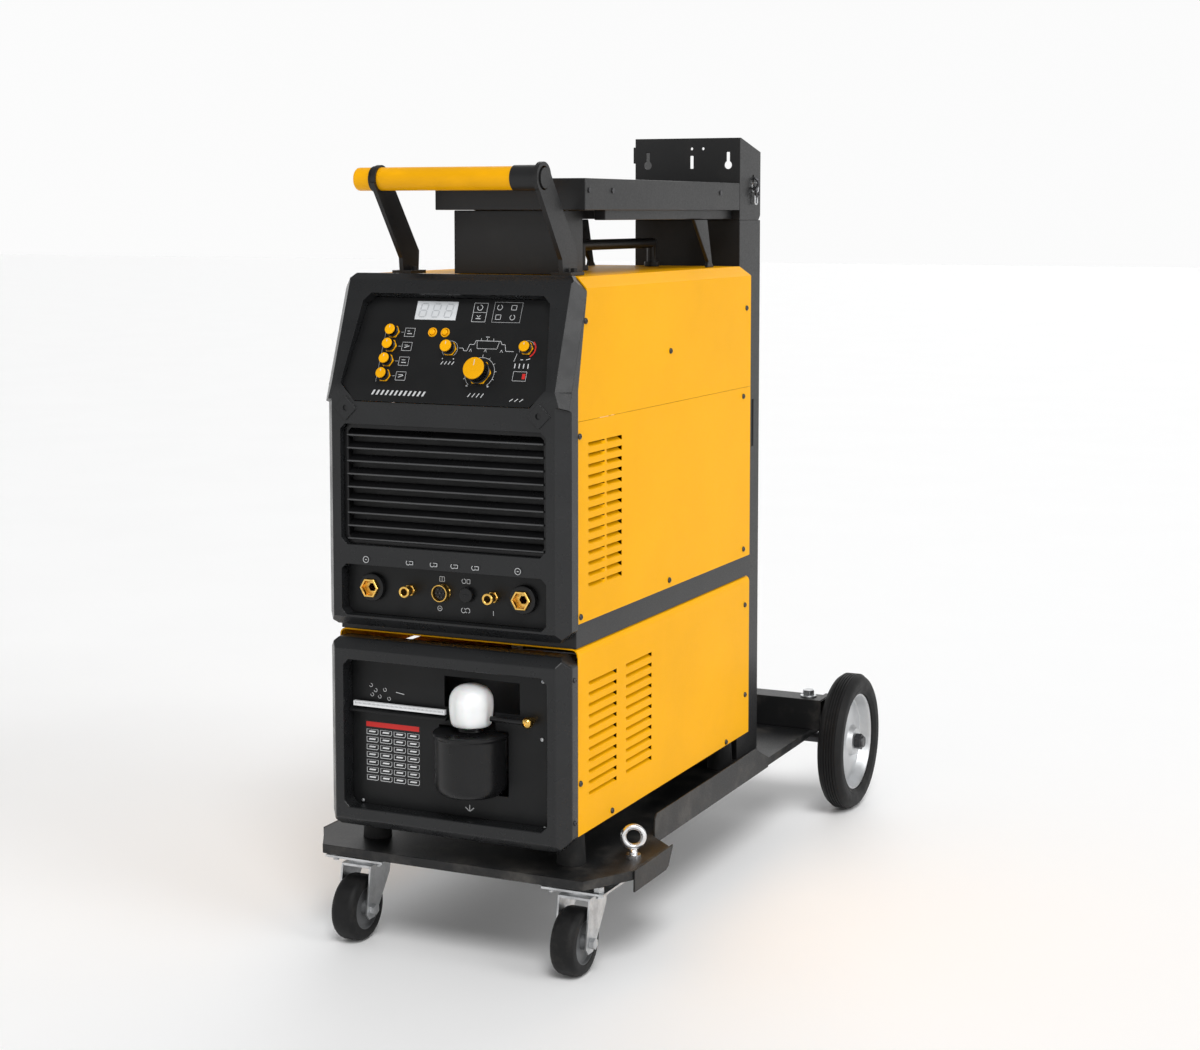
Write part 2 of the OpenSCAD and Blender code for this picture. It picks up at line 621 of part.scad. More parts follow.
module welder_cover() color("#f2ae05") from_front() difference() {
    intersection() {
        along_y(0, case_l) cut_rect(half_w, seam_z, top_z, 0, cover_chamfer);
        along_x(-half_w - 1, half_w + 1) cover_side(0, 0);
    }
    intersection() {
        along_y(-5, case_l + 5)
            cut_rect(half_w - sheet_t, seam_z - eps, top_z - sheet_t, 0, cover_chamfer - 0.6 * sheet_t);
        along_x(-half_w - 1, half_w + 1) cover_side(sheet_t, 4);
    }
}

// Rear walls of both cases; the welder's has the fan duct, its guard and its spindle
module rear_panels() color("#242527") from_front() {
    difference() {
        block(-half_w + sheet_t + seam, half_w - sheet_t - seam, rear_y - 2, rear_y,
            welder_z0 + 22.5, top_z - 18);
        rod_y(fan_x, fan_z, rear_y - 10, rear_y + 10, fan_d);
        rod_y(gland_x, welder_z0 + 60, rear_y - 10, rear_y + 10, 24.2);
        rod_y(switch_x, switch_z, rear_y - 10, rear_y + 10, spindle_d + 2 * turn_gap);
        rod_y(inlet_x, welder_z0 + 60, rear_y - 10, rear_y + 10, 10.2);
    }
    difference() {
        rod_y(fan_x, fan_z, rear_y - 40, rear_y - 2, fan_d + 8);
        rod_y(fan_x, fan_z, rear_y - 41, rear_y, fan_d);
    }
    for (a = [0 : 45 : 135]) translate([fan_x, rear_y - 1, fan_z]) rotate([0, a, 0])
        cube([fan_d + 6, 2, 5], center = true);
    for (d = [60, 100, 136]) translate([fan_x, rear_y, fan_z]) rotate([90, 0, 0])
        rotate_extrude() translate([d / 2, 0]) square([3, 2]);
    rod_y(fan_x, fan_z, rear_y - 30, rear_y, 8);
    block(-half_w + sheet_t + seam, half_w - sheet_t - seam, rear_y - 2, rear_y,
        cooler_z0 + 22.5, cooler_z1 - 13);
}

// Outline of the control panel along its face, drawn in by i
module panel_outline(i)
    polygon([[-panel_hw + 25 + i, panel_lo + i], [panel_hw - 25 - i, panel_lo + i], [panel_hw - i, i / 2],
        [panel_top_hw - i + 2, panel_hi - 12], [panel_top_hw - i - 10, panel_hi - i],
        [-panel_top_hw + i + 10, panel_hi - i], [-panel_top_hw + i - 2, panel_hi - 12],
        [-panel_hw + i, i / 2]]);

// Front frame of the welder: upright below the kink, leaning back above it
module welder_bezel() color("#2f3134") from_front() {
    hw = half_w + bezel_proud;
    difference() {
        intersection() {
            along_y(-bezel_d, 60) cut_rect(hw, bezel_z0, top_z + 2, 16, 22);
            along_x(-hw - 1, hw + 1)
                polygon([[-seam, bezel_z0], [-bezel_d + 14, bezel_z0], [-bezel_d, bezel_z0 + 14],
                    [-bezel_d, kink_z], [-bezel_d + (top_z - 10 - kink_z) * tan(lean), top_z - 10],
                    [-bezel_d + (top_z - kink_z) * tan(lean) + 8, top_z + 2],
                    [lean_top_y + seam, top_z + 2], [-seam, kink_z]]);
            union() {
                translate([0, 0, bezel_z0]) linear_extrude(kink_z - bezel_z0) side_chamfers(hw);
                translate([0, -bezel_d, kink_z]) rotate([-lean, 0, 0]) translate([0, bezel_d, -20])
                    linear_extrude(220) side_chamfers(hw);
            }
        }
        // openings of the connectors and the grille
        along_y(-bezel_d - eps, eps) cut_rect(open_hw, plug_z0, plug_z0 + plug_h, 8, 8);
        along_y(-bezel_d - eps, eps) cut_rect(open_hw, grille_z0, grille_z1, 10, 8);
        // opening of the control panel
        on_panel(0, 0) translate([0, 0, -60]) linear_extrude(120) panel_outline(0);
        // room behind the face
        along_y(plug_y + 4, 62) cut_rect(hw - 7, bezel_z0 + 8, kink_z - 30, 14, 6);
        translate([0, panel_y + 10, kink_z]) rotate([-panel_lean, 0, 0])
            block(-hw + 7, hw - 7, 0, 90, -6, 146);
    }
    // lugs that take the frame's two face screws
    for (s = [-1, 1]) difference() {
        translate([s * (half_w - 40.5), -bezel_d + 1.5, grille_z1 + 23]) rotate([90, 45, 0])
            linear_extrude(4) square(26, center = true);
        rod_y(s * (half_w - 40.5), grille_z1 + 23, -bezel_d - 5, -bezel_d + 4, 9);
    }
}

module side_chamfers(hw)
    polygon([[-hw, 60], [-hw, -bezel_d + 20], [-hw + 17, -bezel_d], [hw - 17, -bezel_d],
        [hw, -bezel_d + 20], [hw, 60]]);

module control_panel() color("#232426") from_front() difference() {
    on_panel(0, 0) translate([0, 0, -panel_t]) linear_extrude(panel_t) panel_outline(0.4);
    on_panel(display_spot[0], display_spot[1]) translate([0, 0, -panel_t - eps])
        linear_extrude(panel_t + 2 * eps) square(display_size + [0.6, 0.6], center = true);
    for (s = knob_rows) on_panel(knob_x, s) spindle_hole();
    on_panel(slope_spot[0], slope_spot[1]) spindle_hole();
    on_panel(balance_x, 64) spindle_hole();
    on_panel(dial_spot[0], dial_spot[1]) spindle_hole();
    for (x = [-35, -14]) on_panel(x, 85) translate([0, 0, -panel_t - eps])
        cylinder(d = button_d + 2 * side_gap, h = panel_t + 2 * eps);
}

module spindle_hole()
    translate([0, 0, -panel_t - eps]) cylinder(d = spindle_d + 2 * turn_gap, h = panel_t + 2 * eps);

module display_window() color("#dfe3e6") from_front() on_panel(display_spot[0], display_spot[1])
    translate([0, 0, -panel_t]) linear_extrude(panel_t + 0.6) square(display_size, center = true);

// A turned knob with a skirt, a body, a cap edge and its spindle
module knob(d, h) rotate_extrude() polygon([[0, -8], [spindle_d / 2, -8], [spindle_d / 2, side_gap],
    [d / 2 + 1, side_gap], [d / 2 + 0.6, 2.6], [d / 2 - 1, 3.2], [d / 2 - 1.6, h - 1.5],
    [d / 2 - 2.6, h - 0.4], [0, h]]);

module knob_1() color("#f2b10a") from_front() on_panel(knob_x, knob_rows[0]) knob(knob_d, knob_h);
module knob_2() color("#f2b10a") from_front() on_panel(knob_x, knob_rows[1]) knob(knob_d, knob_h);
module knob_3() color("#f2b10a") from_front() on_panel(knob_x, knob_rows[2]) knob(knob_d, knob_h);
module knob_4() color("#f2b10a") from_front() on_panel(knob_x, knob_rows[3]) knob(knob_d, knob_h);
module slope_knob() color("#f2b10a") from_front() on_panel(slope_spot[0], slope_spot[1])
    knob(knob_d + 2, knob_h + 2);
module balance_knob() color("#f2b10a") from_front() on_panel(balance_x, 64) knob(knob_d, knob_h - 2);
module current_dial() color("#f2b10a") from_front() on_panel(dial_spot[0], dial_spot[1])
    knob(dial_d, dial_h);

module button() {
    translate([0, 0, -panel_t - 3]) cylinder(d = button_d, h = panel_t + 3 + 2 + button_travel);
    translate([0, 0, -panel_t - 4]) cylinder(d = button_d + 4, h = 1.5);
}
module button_left() color("#e8a006") from_front() on_panel(-35, 85) button();
module button_right() color("#e8a006") from_front() on_panel(-14, 85) button();

// Grille: a frame with slats that slope down to the front
module front_grille() color("#1a1b1c") from_front() {
    y0 = plug_y - 10;
    pitch = (grille_h - 6) / slat_n;
    difference() {
        along_y(y0, plug_y + 3.6) cut_rect(open_hw - 0.3, grille_z0 + 0.3, grille_z1 - 0.3, 10, 8);
        along_y(y0 - eps, plug_y + 5) cut_rect(open_hw - 8, grille_z0 + 7, grille_z1 - 7, 6, 5);
    }
    // dust filter behind the slats
    along_y(plug_y + 3.7, plug_y + 9)
        cut_rect(open_hw - 4, grille_z0 + 4, grille_z1 - 4, 8, 6);
    for (i = [0 : slat_n - 1]) along_x(-open_hw + 6, open_hw - 6)
        polygon([[y0 - 4, grille_z0 + 6 + i * pitch], [y0 - 4, grille_z0 + 9 + i * pitch],
            [plug_y + 2, grille_z0 + 17 + i * pitch], [plug_y + 2, grille_z0 + 14 + i * pitch]]);
}

// Panel behind the connectors
module connector_panel() color("#1e1f21") from_front() difference() {
    along_y(plug_y, plug_y + 3) cut_rect(open_hw - 0.3, plug_z0 + 0.3, plug_z0 + plug_h - 0.3, 8, 8);
    for (s = [-1, 1]) rod_y(s * weld_socket_x, plug_z, plug_y - eps, plug_y + 4, 30.2);
    for (x = tail_x) rod_y(x, plug_z, plug_y - eps, plug_y + 4, 10.2);
    rod_y(torch_x, plug_z, plug_y - eps, plug_y + 4, 20.2);
    rod_y(blank_x, plug_z, plug_y - eps, plug_y + 4, 18.2);
}

// Insulating rings of the two weld sockets
module weld_sockets() color("#121212") from_front() for (s = [-1, 1]) difference() {
    union() {
        rod_y(s * weld_socket_x, plug_z, plug_y - 10, plug_y, socket_ring_d);
        rod_y(s * weld_socket_x, plug_z, plug_y, plug_y + 24, 30);
    }
    rod_y(s * weld_socket_x, plug_z, plug_y - 11, plug_y + 25, 22);
}

// Brass socket inserts: a hexagon nose and a blind bore
module socket_inserts() color("#c99a2e") from_front() for (s = [-1, 1]) difference() {
    union() {
        translate([s * weld_socket_x, plug_y - 16, plug_z]) rotate([-90, 0, 0]) hex(31, 6);
        rod_y(s * weld_socket_x, plug_z, plug_y - 10, plug_y + 30, 22);
    }
    rod_y(s * weld_socket_x, plug_z, plug_y - 16 - eps, plug_y - 16 + socket_bore_l, socket_bore_d);
}

// Gas and water tails at the front and rear, and the drain rod's ball fitting
module brass_fittings() color("#c9982c") from_front() {
    for (x = tail_x) difference() {
        union() {
            rod_y(x, plug_z, plug_y - 24, plug_y + 12, 10);
            rod_y(x, plug_z, plug_y - 24, plug_y - 8, 14);
            rod_y(x, plug_z, plug_y - 24, plug_y - 19, 17);
            translate([x, plug_y - 8, plug_z]) rotate([-90, 0, 0]) hex(18, 7.9);
        }
        rod_y(x, plug_z, plug_y - 25, plug_y - 10, 10);
    }
    rod_y(inlet_x, welder_z0 + 60, rear_y - 16, rear_y + 26, 10);
    translate([inlet_x, rear_y + 0.2, welder_z0 + 60]) rotate([-90, 0, 0]) hex(19, 8);
    translate([ball_x, cooler_panel_y - 14, pot_z1 + 24]) sphere(d = 17);
    rod_y(ball_x, pot_z1 + 24, cooler_panel_y - 12, cooler_panel_y + 8, 10);
    rod_x(cooler_panel_y - 14, pot_z1 + 24, pot_x + cap_d / 2 + 2, ball_x - 4, 8);
}

// Seven-pole torch socket and the blank cap beside it
module torch_connector() color("#b98a2a") from_front() {
    difference() {
        union() {
            rod_y(torch_x, plug_z, plug_y - 12, plug_y, 27);
            rod_y(torch_x, plug_z, plug_y, plug_y + 14, 20);
        }
        rod_y(torch_x, plug_z, plug_y - 13, plug_y - 2, 22);
    }
    rod_y(torch_x, plug_z, plug_y - 7, plug_y - 2, 21);
    rod_y(blank_x, plug_z, plug_y - 9, plug_y, 22);
    rod_y(blank_x, plug_z, plug_y, plug_y + 12, 18);
}

module inverter_board() color("#2f6b3c") from_front() {
    x0 = -half_w + 48.5;
    block(x0, x0 + 180, 70, 330, welder_z0 + 200, welder_z0 + 202);
    for (i = [0 : 11]) block(x0 + 4 + i * 15, x0 + 8 + i * 15, 90, 310, welder_z0 + 150, welder_z0 + 196);
    block(x0, x0 + 180, 90, 310, welder_z0 + 195, welder_z0 + 200);
    for (i = [0 : 3]) translate([x0 + 30 + i * 42, 200, welder_z0 + 202]) cylinder(d = 35, h = 50);
}

// Core and two windings
module transformer() color("#7c4a24") from_front() {
    block(40, half_w - 38.5, 130, 260, welder_z0 + 26, welder_z0 + 116);
    for (z = [welder_z0 + 116, welder_z0 + 22.5]) block(56, half_w - 54.5, 150, 240, z, z + (z > welder_z0 + 100 ? 24 : 3.5));
    block(-half_w + 48.5, -30, 130, 260, welder_z0 + 26, welder_z0 + 110);
}

module fan_rotor() color("#303235") from_front() translate([fan_x, rear_y - 20, fan_z]) {
    difference() {
        union() {
            rod_y(0, 0, -14, 14, 46);
            for (a = [0 : 51.4286 : 340]) rotate([0, a, 0]) translate([20, 0, 0]) rotate([28, 0, 0])
                block(0, fan_d / 2 - 24, -1.2, 1.2, -13, 13);
        }
        rod_y(0, 0, -11, 15, 8 + 2 * turn_gap);
    }
}

module power_switch() color("#c4231c") from_front() translate([switch_x, rear_y, switch_z]) {
    rod_y(0, 0, side_gap, 14, 44);
    block(-7, 7, 13, 28, -20, 20);
    rod_y(0, 0, -14, 2, spindle_d);
}

module cable_gland() color("#17181a") from_front() translate([gland_x, rear_y, welder_z0 + 60]) difference() {
    union() {
        rod_y(0, 0, -12, 2, 24);
        translate([0, 0.2, 0]) rotate([-90, 0, 0]) hex(36, 8);
        rod_y(0, 0, 8, 34, 26);
    }
    rod_y(0, 0, -13, 35, 14);
}

// Tubular handle on the welder's top, under the shelf
module carry_handle() color("#1b1c1d") from_front() translate([carry_x, 0, top_z]) {
    for (y = [carry_y, carry_y + carry_l]) {
        translate([0, y, seam]) cylinder(d = 26, h = 8);
        translate([0, y, seam]) cylinder(d = carry_d, h = carry_h);
        translate([0, y, carry_h]) sphere(d = carry_d);
    }
    rod_y(0, carry_h, carry_y, carry_y + carry_l, carry_d);
}

// Push handle: tube grip with a strap ring, held by two flat arms
module handle_grip() color("#f2ae05") from_front() difference() {
    union() {
        rod_x(grip_y, grip_z, -grip_l / 2, arm_x[1] - arm_t / 2, grip_d);
        rod_x(grip_y, grip_z, arm_x[0] - 9, arm_x[0] - arm_t / 2, grip_d + 3);
    }
    rod_x(grip_y, grip_z, -grip_l / 2 + 4, arm_x[1] - 10, grip_d - 8);
}

module handle_arms() color("#1d1e1f") from_front() {
    for (x = arm_x) {
        difference() {
            union() {
                along_x(x - arm_t / 2, x + arm_t / 2)
                    polygon([[grip_y - 23, grip_z - 6], [grip_y + 16, grip_z + 14],
                        [foot_y + 25, top_z + 34], [foot_y + 23, top_z + 5 + seam],
                        [foot_y - 23, top_z + 5 + seam], [foot_y - 25, top_z + 24]]);
                rod_x(grip_y, grip_z, x - arm_t / 2, x + arm_t / 2, x < 0 ? grip_d + 7 : 46);
            }
            rod_x(grip_y, grip_z, x - arm_t, x + arm_t, grip_d + 0.1);
        }
        block(x - 16, x + 16, foot_y - 23, foot_y + 23, top_z + seam, top_z + 5 + seam);
        for (i = [-1, 1]) translate([x + i * 10, foot_y, top_z + 5]) hex(11, 6);
    }
    // sleeve over the grip's right end
    difference() {
        rod_x(grip_y, grip_z, arm_x[1] - 43, arm_x[1] - arm_t / 2, grip_d + 3);
        rod_x(grip_y, grip_z, arm_x[1] - 44, arm_x[1], grip_d + 0.1);
    }
    rod_x(grip_y, grip_z, arm_x[1] - arm_t / 2 + 0.1, arm_x[1] + arm_t / 2 + 2, 30);
}

deck_plate();
side_skirts();
axle_beam();
rear_axle();
rear_column();
cylinder_bracket();
tray_shelf();
shelf_supports();
castor_plates();
eye_bolt();
fasteners();
case_feet();
castor_fork_left();
castor_fork_right();
castor_wheel_left();
castor_wheel_right();
rear_tyre_left();
rear_tyre_right();
rear_rim_left();
rear_rim_right();
spacer_plinth();
cooler_base();
cooler_cover();
cooler_bezel();
cooler_front_panel();
coolant_tank();
radiator();
coolant_pump();
filler_pot();
filler_cap();
brass_fittings();
welder_base();
welder_cover();
welder_sides();
rear_panels();
welder_bezel();
control_panel();
display_window();
front_grille();
connector_panel();
weld_sockets();
socket_inserts();
torch_connector();
knob_1();
knob_2();
knob_3();
knob_4();
slope_knob();
balance_knob();
current_dial();
button_left();
button_right();
carry_handle();
handle_grip();
handle_arms();
inverter_board();
transformer();
fan_rotor();
power_switch();
cable_gland();
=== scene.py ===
"""Looks for a water-cooled TIG welding set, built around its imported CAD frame."""

import json
import math

import bmesh
import bpy
from mathutils import Matrix, Vector


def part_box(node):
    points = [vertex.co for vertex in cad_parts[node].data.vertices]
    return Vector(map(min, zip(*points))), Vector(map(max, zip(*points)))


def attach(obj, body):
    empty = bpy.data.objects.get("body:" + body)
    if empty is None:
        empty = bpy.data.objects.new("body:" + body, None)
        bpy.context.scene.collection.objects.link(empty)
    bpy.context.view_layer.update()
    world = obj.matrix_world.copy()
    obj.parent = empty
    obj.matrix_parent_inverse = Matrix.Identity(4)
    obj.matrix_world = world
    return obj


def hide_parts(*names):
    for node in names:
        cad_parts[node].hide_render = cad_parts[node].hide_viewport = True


bl_info = {
    "name": "TIG welding set",
    "version": (1, 0, 0),
    "blender": (4, 5, 0),
    "location": "View3D > Sidebar > Welder",
    "description": "Builds the finished look of a water-cooled TIG welding set on a trolley",
    "category": "Object",
}

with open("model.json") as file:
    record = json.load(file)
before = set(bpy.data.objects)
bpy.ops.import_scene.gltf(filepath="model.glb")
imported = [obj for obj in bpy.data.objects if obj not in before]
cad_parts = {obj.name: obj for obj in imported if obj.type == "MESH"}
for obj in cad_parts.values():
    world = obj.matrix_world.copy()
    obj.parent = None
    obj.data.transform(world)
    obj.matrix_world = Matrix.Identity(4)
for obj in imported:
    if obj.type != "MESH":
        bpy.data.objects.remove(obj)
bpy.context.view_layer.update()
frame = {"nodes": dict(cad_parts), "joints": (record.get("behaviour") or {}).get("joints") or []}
JOINTS = {joint["name"]: joint for joint in frame["joints"]}
MM = 0.001


def low(node):
    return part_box(node)[0] / MM


def high(node):
    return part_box(node)[1] / MM


# The front edge of the painted sides is y = 0 on the drawing; every size below is in
# millimetres from there, and from the floor and the middle of the case.
SEAM_GAP = 0.5
DRAWING_Y = low("welder_sides").y - SEAM_GAP
HALF = high("welder_cover").x
LENGTH = high("welder_cover").y - DRAWING_Y
TOP = high("welder_cover").z
SIDE_TOP = low("welder_cover").z
WELDER_Z0 = low("welder_sides").z
COOLER_Z0 = low("cooler_cover").z
COOLER_Z1 = high("cooler_cover").z
COVER_SHEET = 2.0
SIDE_SHEET = 0.9
PANEL_LEAN = math.radians(24)
PANEL_Y = -35.0
KINK_Z = TOP - 160
PLUG_Y = high("connector_panel").y - DRAWING_Y - 3
PLUG_Z = low("weld_sockets").z + (high("weld_sockets").z - low("weld_sockets").z) / 2
COOLER_PANEL_Y = high("cooler_front_panel").y - DRAWING_Y - 3.3
COLUMN_X = high("rear_column").x
COLUMN_Y = low("rear_column").y - DRAWING_Y
COLUMN_TOP = high("cylinder_bracket").z
SHELF_Z = high("tray_shelf").z - 46
REAR_Y = LENGTH - 6

PANEL_OUT = Vector((0, -math.cos(PANEL_LEAN), math.sin(PANEL_LEAN)))
PANEL_UP = Vector((0, math.sin(PANEL_LEAN), math.cos(PANEL_LEAN)))
TO_ROW = Matrix.Scale(MM, 4) @ Matrix.Translation((0, DRAWING_Y, 0))
RIGHT, BACK, UP = Vector((1, 0, 0)), Vector((0, 1, 0)), Vector((0, 0, 1))


def facing(x, y, z, across, up):
    """A place on the drawing whose own X runs across, Y up, and Z out of the surface."""
    across, up = Vector(across), Vector(up)
    turn = Matrix((across, up, across.cross(up))).transposed()
    return Matrix.Translation((x, y, z)) @ turn.to_4x4()


def at_front(x, y, z):
    return facing(x, y, z, RIGHT, UP)


def at_side(side, y, z, x=None):
    return facing(side * HALF if x is None else x, y, z, side * BACK, UP)


def at_rear(x, y, z):
    return facing(x, y, z, -RIGHT, UP)


def on_panel(x, s, lift=0.0):
    spot = Vector((0, PANEL_Y, KINK_Z)) + RIGHT * x + PANEL_UP * s + PANEL_OUT * lift
    return facing(*spot, RIGHT, PANEL_UP)


# ---------------------------------------------------------------- nodes and looks


def feed(tree, socket, value):
    """Links a socket to another or to a Field's, or sets its plain value."""
    value = getattr(value, "socket", value)
    if isinstance(value, bpy.types.NodeSocket):
        tree.links.new(value, socket)
    else:
        socket.default_value = value


def new_node(tree, kind, settings=(), sockets=()):
    """Adds a node: its settings first, then the values or links of its sockets."""
    made = tree.nodes.new(kind)
    for key, value in dict(settings).items():
        setattr(made, key, value)
    for key, value in dict(sockets).items():
        feed(tree, made.inputs[key], value)
    return made


class Field:
    """One shader value; Python's operators on it add Math nodes."""

    def __init__(self, look, socket):
        self.look, self.socket = look, socket

    def math(self, operation, *values):
        return self.look.node("ShaderNodeMath", {"operation": operation}, dict(enumerate((self, *values))))

    def __add__(self, other):
        return self.math("ADD", other)

    def __mul__(self, other):
        return self.math("MULTIPLY", other)

    __radd__ = __add__
    __rmul__ = __mul__

    def ease(self, start, end, low_value=0.0, high_value=1.0):
        """Runs smoothly from low_value to high_value as this goes from start to end."""
        settings = {"interpolation_type": "SMOOTHSTEP", "clamp": True}
        sockets = dict(enumerate((self, start, end, low_value, high_value)))
        return self.look.node("ShaderNodeMapRange", settings, sockets)


class Look:
    """A Principled material on Object coordinates, in metres."""

    def __init__(self, name, **constants):
        self.material = bpy.data.materials.new(name)
        self.material.use_nodes = True
        self.tree = self.material.node_tree
        self.tree.nodes.clear()
        self.shader = self.tree.nodes.new("ShaderNodeBsdfPrincipled")
        out = self.tree.nodes.new("ShaderNodeOutputMaterial")
        self.tree.links.new(self.shader.outputs[0], out.inputs["Surface"])
        self.spot = self.node("ShaderNodeTexCoord", out="Object")
        for key, value in constants.items():
            self.shader.inputs[key.replace("_", " ").title().replace("Ior", "IOR")].default_value = value

    def node(self, kind, settings=(), sockets=(), out=0):
        return Field(self, new_node(self.tree, kind, settings, sockets).outputs[out])

    def stretched(self, scale, centre=(0, 0, 0)):
        """Object coordinates from a centre, scaled along each axis."""
        place = [-c * s for c, s in zip(centre, scale)]
        return self.node("ShaderNodeMapping", {}, {"Vector": self.spot, "Location": place, "Scale": scale})

    def noise(self, scale, detail=2.0, roughness=0.5, spot=None):
        sockets = {"Vector": spot or self.spot, "Scale": scale, "Detail": detail, "Roughness": roughness}
        return self.node("ShaderNodeTexNoise", {}, sockets)

    def cells(self, scale, feature="F1", spot=None):
        sockets = {"Vector": spot or self.spot, "Scale": scale}
        return self.node("ShaderNodeTexVoronoi", {"feature": feature}, sockets)

    def mix(self, factor, a, b):
        sockets = {0: factor, 6: as_colour(a), 7: as_colour(b)}
        return self.node("ShaderNodeMix", {"data_type": "RGBA"}, sockets, out=2)

    def axis(self, name, spot=None):
        return self.node("ShaderNodeSeparateXYZ", {}, {0: spot or self.spot}, out=name)

    def set(self, **sockets):
        names = {"colour": "Base Color", "roughness": "Roughness", "metallic": "Metallic",
                 "coat": "Coat Weight"}
        for key, value in sockets.items():
            feed(self.tree, self.shader.inputs[names[key]], value)
        return self

    def relief(self, height, strength, distance):
        sockets = {"Height": height, "Strength": strength, "Distance": distance}
        feed(self.tree, self.shader.inputs["Normal"], self.node("ShaderNodeBump", {}, sockets))
        return self


def as_colour(value):
    return value if isinstance(value, Field) else (*value[:3], 1.0)


def shade(colour, amount):
    return [min(1.0, c * amount) for c in colour[:3]]


def powder_coat(name, colour, roughness, dust=0.0, gloss=0.0, glare=0.3):
    """Baked powder paint: orange peel, slight tone shifts, dust low down."""
    look = Look(name, coat_roughness=0.22, specular_ior_level=glare)
    tone = look.noise(3.5, 4.0, 0.6).ease(0.3, 0.7)
    painted = look.mix(tone, shade(colour, 0.95), shade(colour, 1.04))
    fine = look.noise(420.0, 2.0)
    low_down = look.axis("Z").ease(0.05, 0.3, 1.0, 0.25)
    dirt = look.noise(14.0, 6.0, 0.65).ease(0.45, 0.8) * low_down * dust
    look.set(
        colour=look.mix(dirt, painted, (0.34, 0.31, 0.27)),
        roughness=fine.ease(0.3, 0.7, roughness - 0.04, roughness + 0.05) + dirt * 0.3,
        coat=look.noise(9.0, 3.0).ease(0.3, 0.7, gloss * 0.8, gloss),
    )
    peel = look.noise(650.0, 2.0) * 0.7 + look.noise(160.0, 1.0) * 0.6
    return look.relief(peel, 0.1, 0.0006).material


def moulded(name, colour, roughness, grain=1500.0, depth=0.12, **constants):
    """Moulded plastic with a fine spark grain and faint flow marks."""
    look = Look(name, **constants)
    flow = look.noise(7.0, 3.0, 0.6, look.stretched((1.0, 1.0, 2.5))).ease(0.3, 0.7)
    pit = look.cells(grain)
    look.set(
        colour=look.mix(flow, shade(colour, 0.9), shade(colour, 1.1)),
        roughness=look.noise(30.0, 4.0).ease(0.3, 0.7, roughness - 0.04, roughness + 0.06),
    )
    return look.relief(pit, depth, 0.0003).material


def rubber(name, colour, dust):
    """Rubber: matt, slightly mottled, with dust where it meets the floor."""
    look = Look(name, specular_ior_level=0.22)
    mottle = look.noise(60.0, 5.0, 0.6).ease(0.3, 0.7)
    base = look.mix(mottle, shade(colour, 0.8), shade(colour, 1.25))
    dirt = look.noise(22.0, 6.0, 0.7).ease(0.5, 0.85) * look.axis("Z").ease(0.0, 0.12, dust, dust * 0.3)
    look.set(colour=look.mix(dirt, base, (0.3, 0.27, 0.23)), roughness=mottle * 0.12 + 0.52 + dirt * 0.3)
    return look.relief(look.noise(900.0, 3.0) + mottle * 0.5, 0.16, 0.0005).material


def zinc_plate(name, colour, roughness=0.28):
    """Zinc plate: soft spangle, fine scratches and dull patches."""
    look = Look(name, metallic=1.0)
    spangle = look.cells(190.0, "SMOOTH_F1")
    dull = look.noise(45.0, 5.0, 0.65).ease(0.35, 0.75)
    scratch = look.noise(90.0, 2.0, 0.5, look.stretched((1.0, 1.0, 14.0))).ease(0.55, 0.75)
    look.set(
        colour=look.mix(dull, colour, shade(colour, 0.72)),
        roughness=dull * 0.16 + roughness + spangle * 0.1 + scratch * 0.08,
    )
    return look.relief(scratch + look.noise(500.0, 2.0) * 0.6, 0.09, 0.0004).material


def turned_metal(name, colour, centre, roughness=0.38):
    """Metal turned about the X axis through centre: fine rings and broad bands."""
    look = Look(name, metallic=1.0)
    spot = look.stretched((1.0, 1.0, 1.0), centre)
    y, z = look.axis("Y", spot), look.axis("Z", spot)
    reach = (y * y + z * z).math("POWER", 0.5)
    ring = (reach * 9000.0).math("SINE")
    uneven = look.noise(24.0, 4.0, 0.6).ease(0.3, 0.7)
    look.set(
        colour=look.mix(uneven, shade(colour, 0.9), shade(colour, 1.06)),
        roughness=uneven * 0.14 + roughness + ring * 0.02,
    )
    return look.relief(ring * 0.5 + look.noise(260.0, 2.0), 0.05, 0.0003).material


def yellow_metal(name, colour):
    """Machined brass: bright faces that have dulled unevenly."""
    look = Look(name, metallic=1.0)
    dull = look.noise(120.0, 5.0, 0.6).ease(0.4, 0.75)
    look.set(
        colour=look.mix(dull, colour, shade(colour, 0.62)),
        roughness=dull * 0.2 + 0.16 + look.noise(700.0, 2.0) * 0.06,
    )
    return look.relief(look.noise(900.0, 2.0), 0.06, 0.0002).material


def printed(name, colour, roughness=0.5):
    """Screen-printed ink: a thin film with slightly uneven cover."""
    look = Look(name)
    cover = look.noise(900.0, 3.0).ease(0.35, 0.7)
    look.set(colour=look.mix(cover, shade(colour, 0.82), colour), roughness=cover * 0.08 + roughness)
    return look.relief(cover, 0.08, 0.0001).material


# ---------------------------------------------------------------- finishes


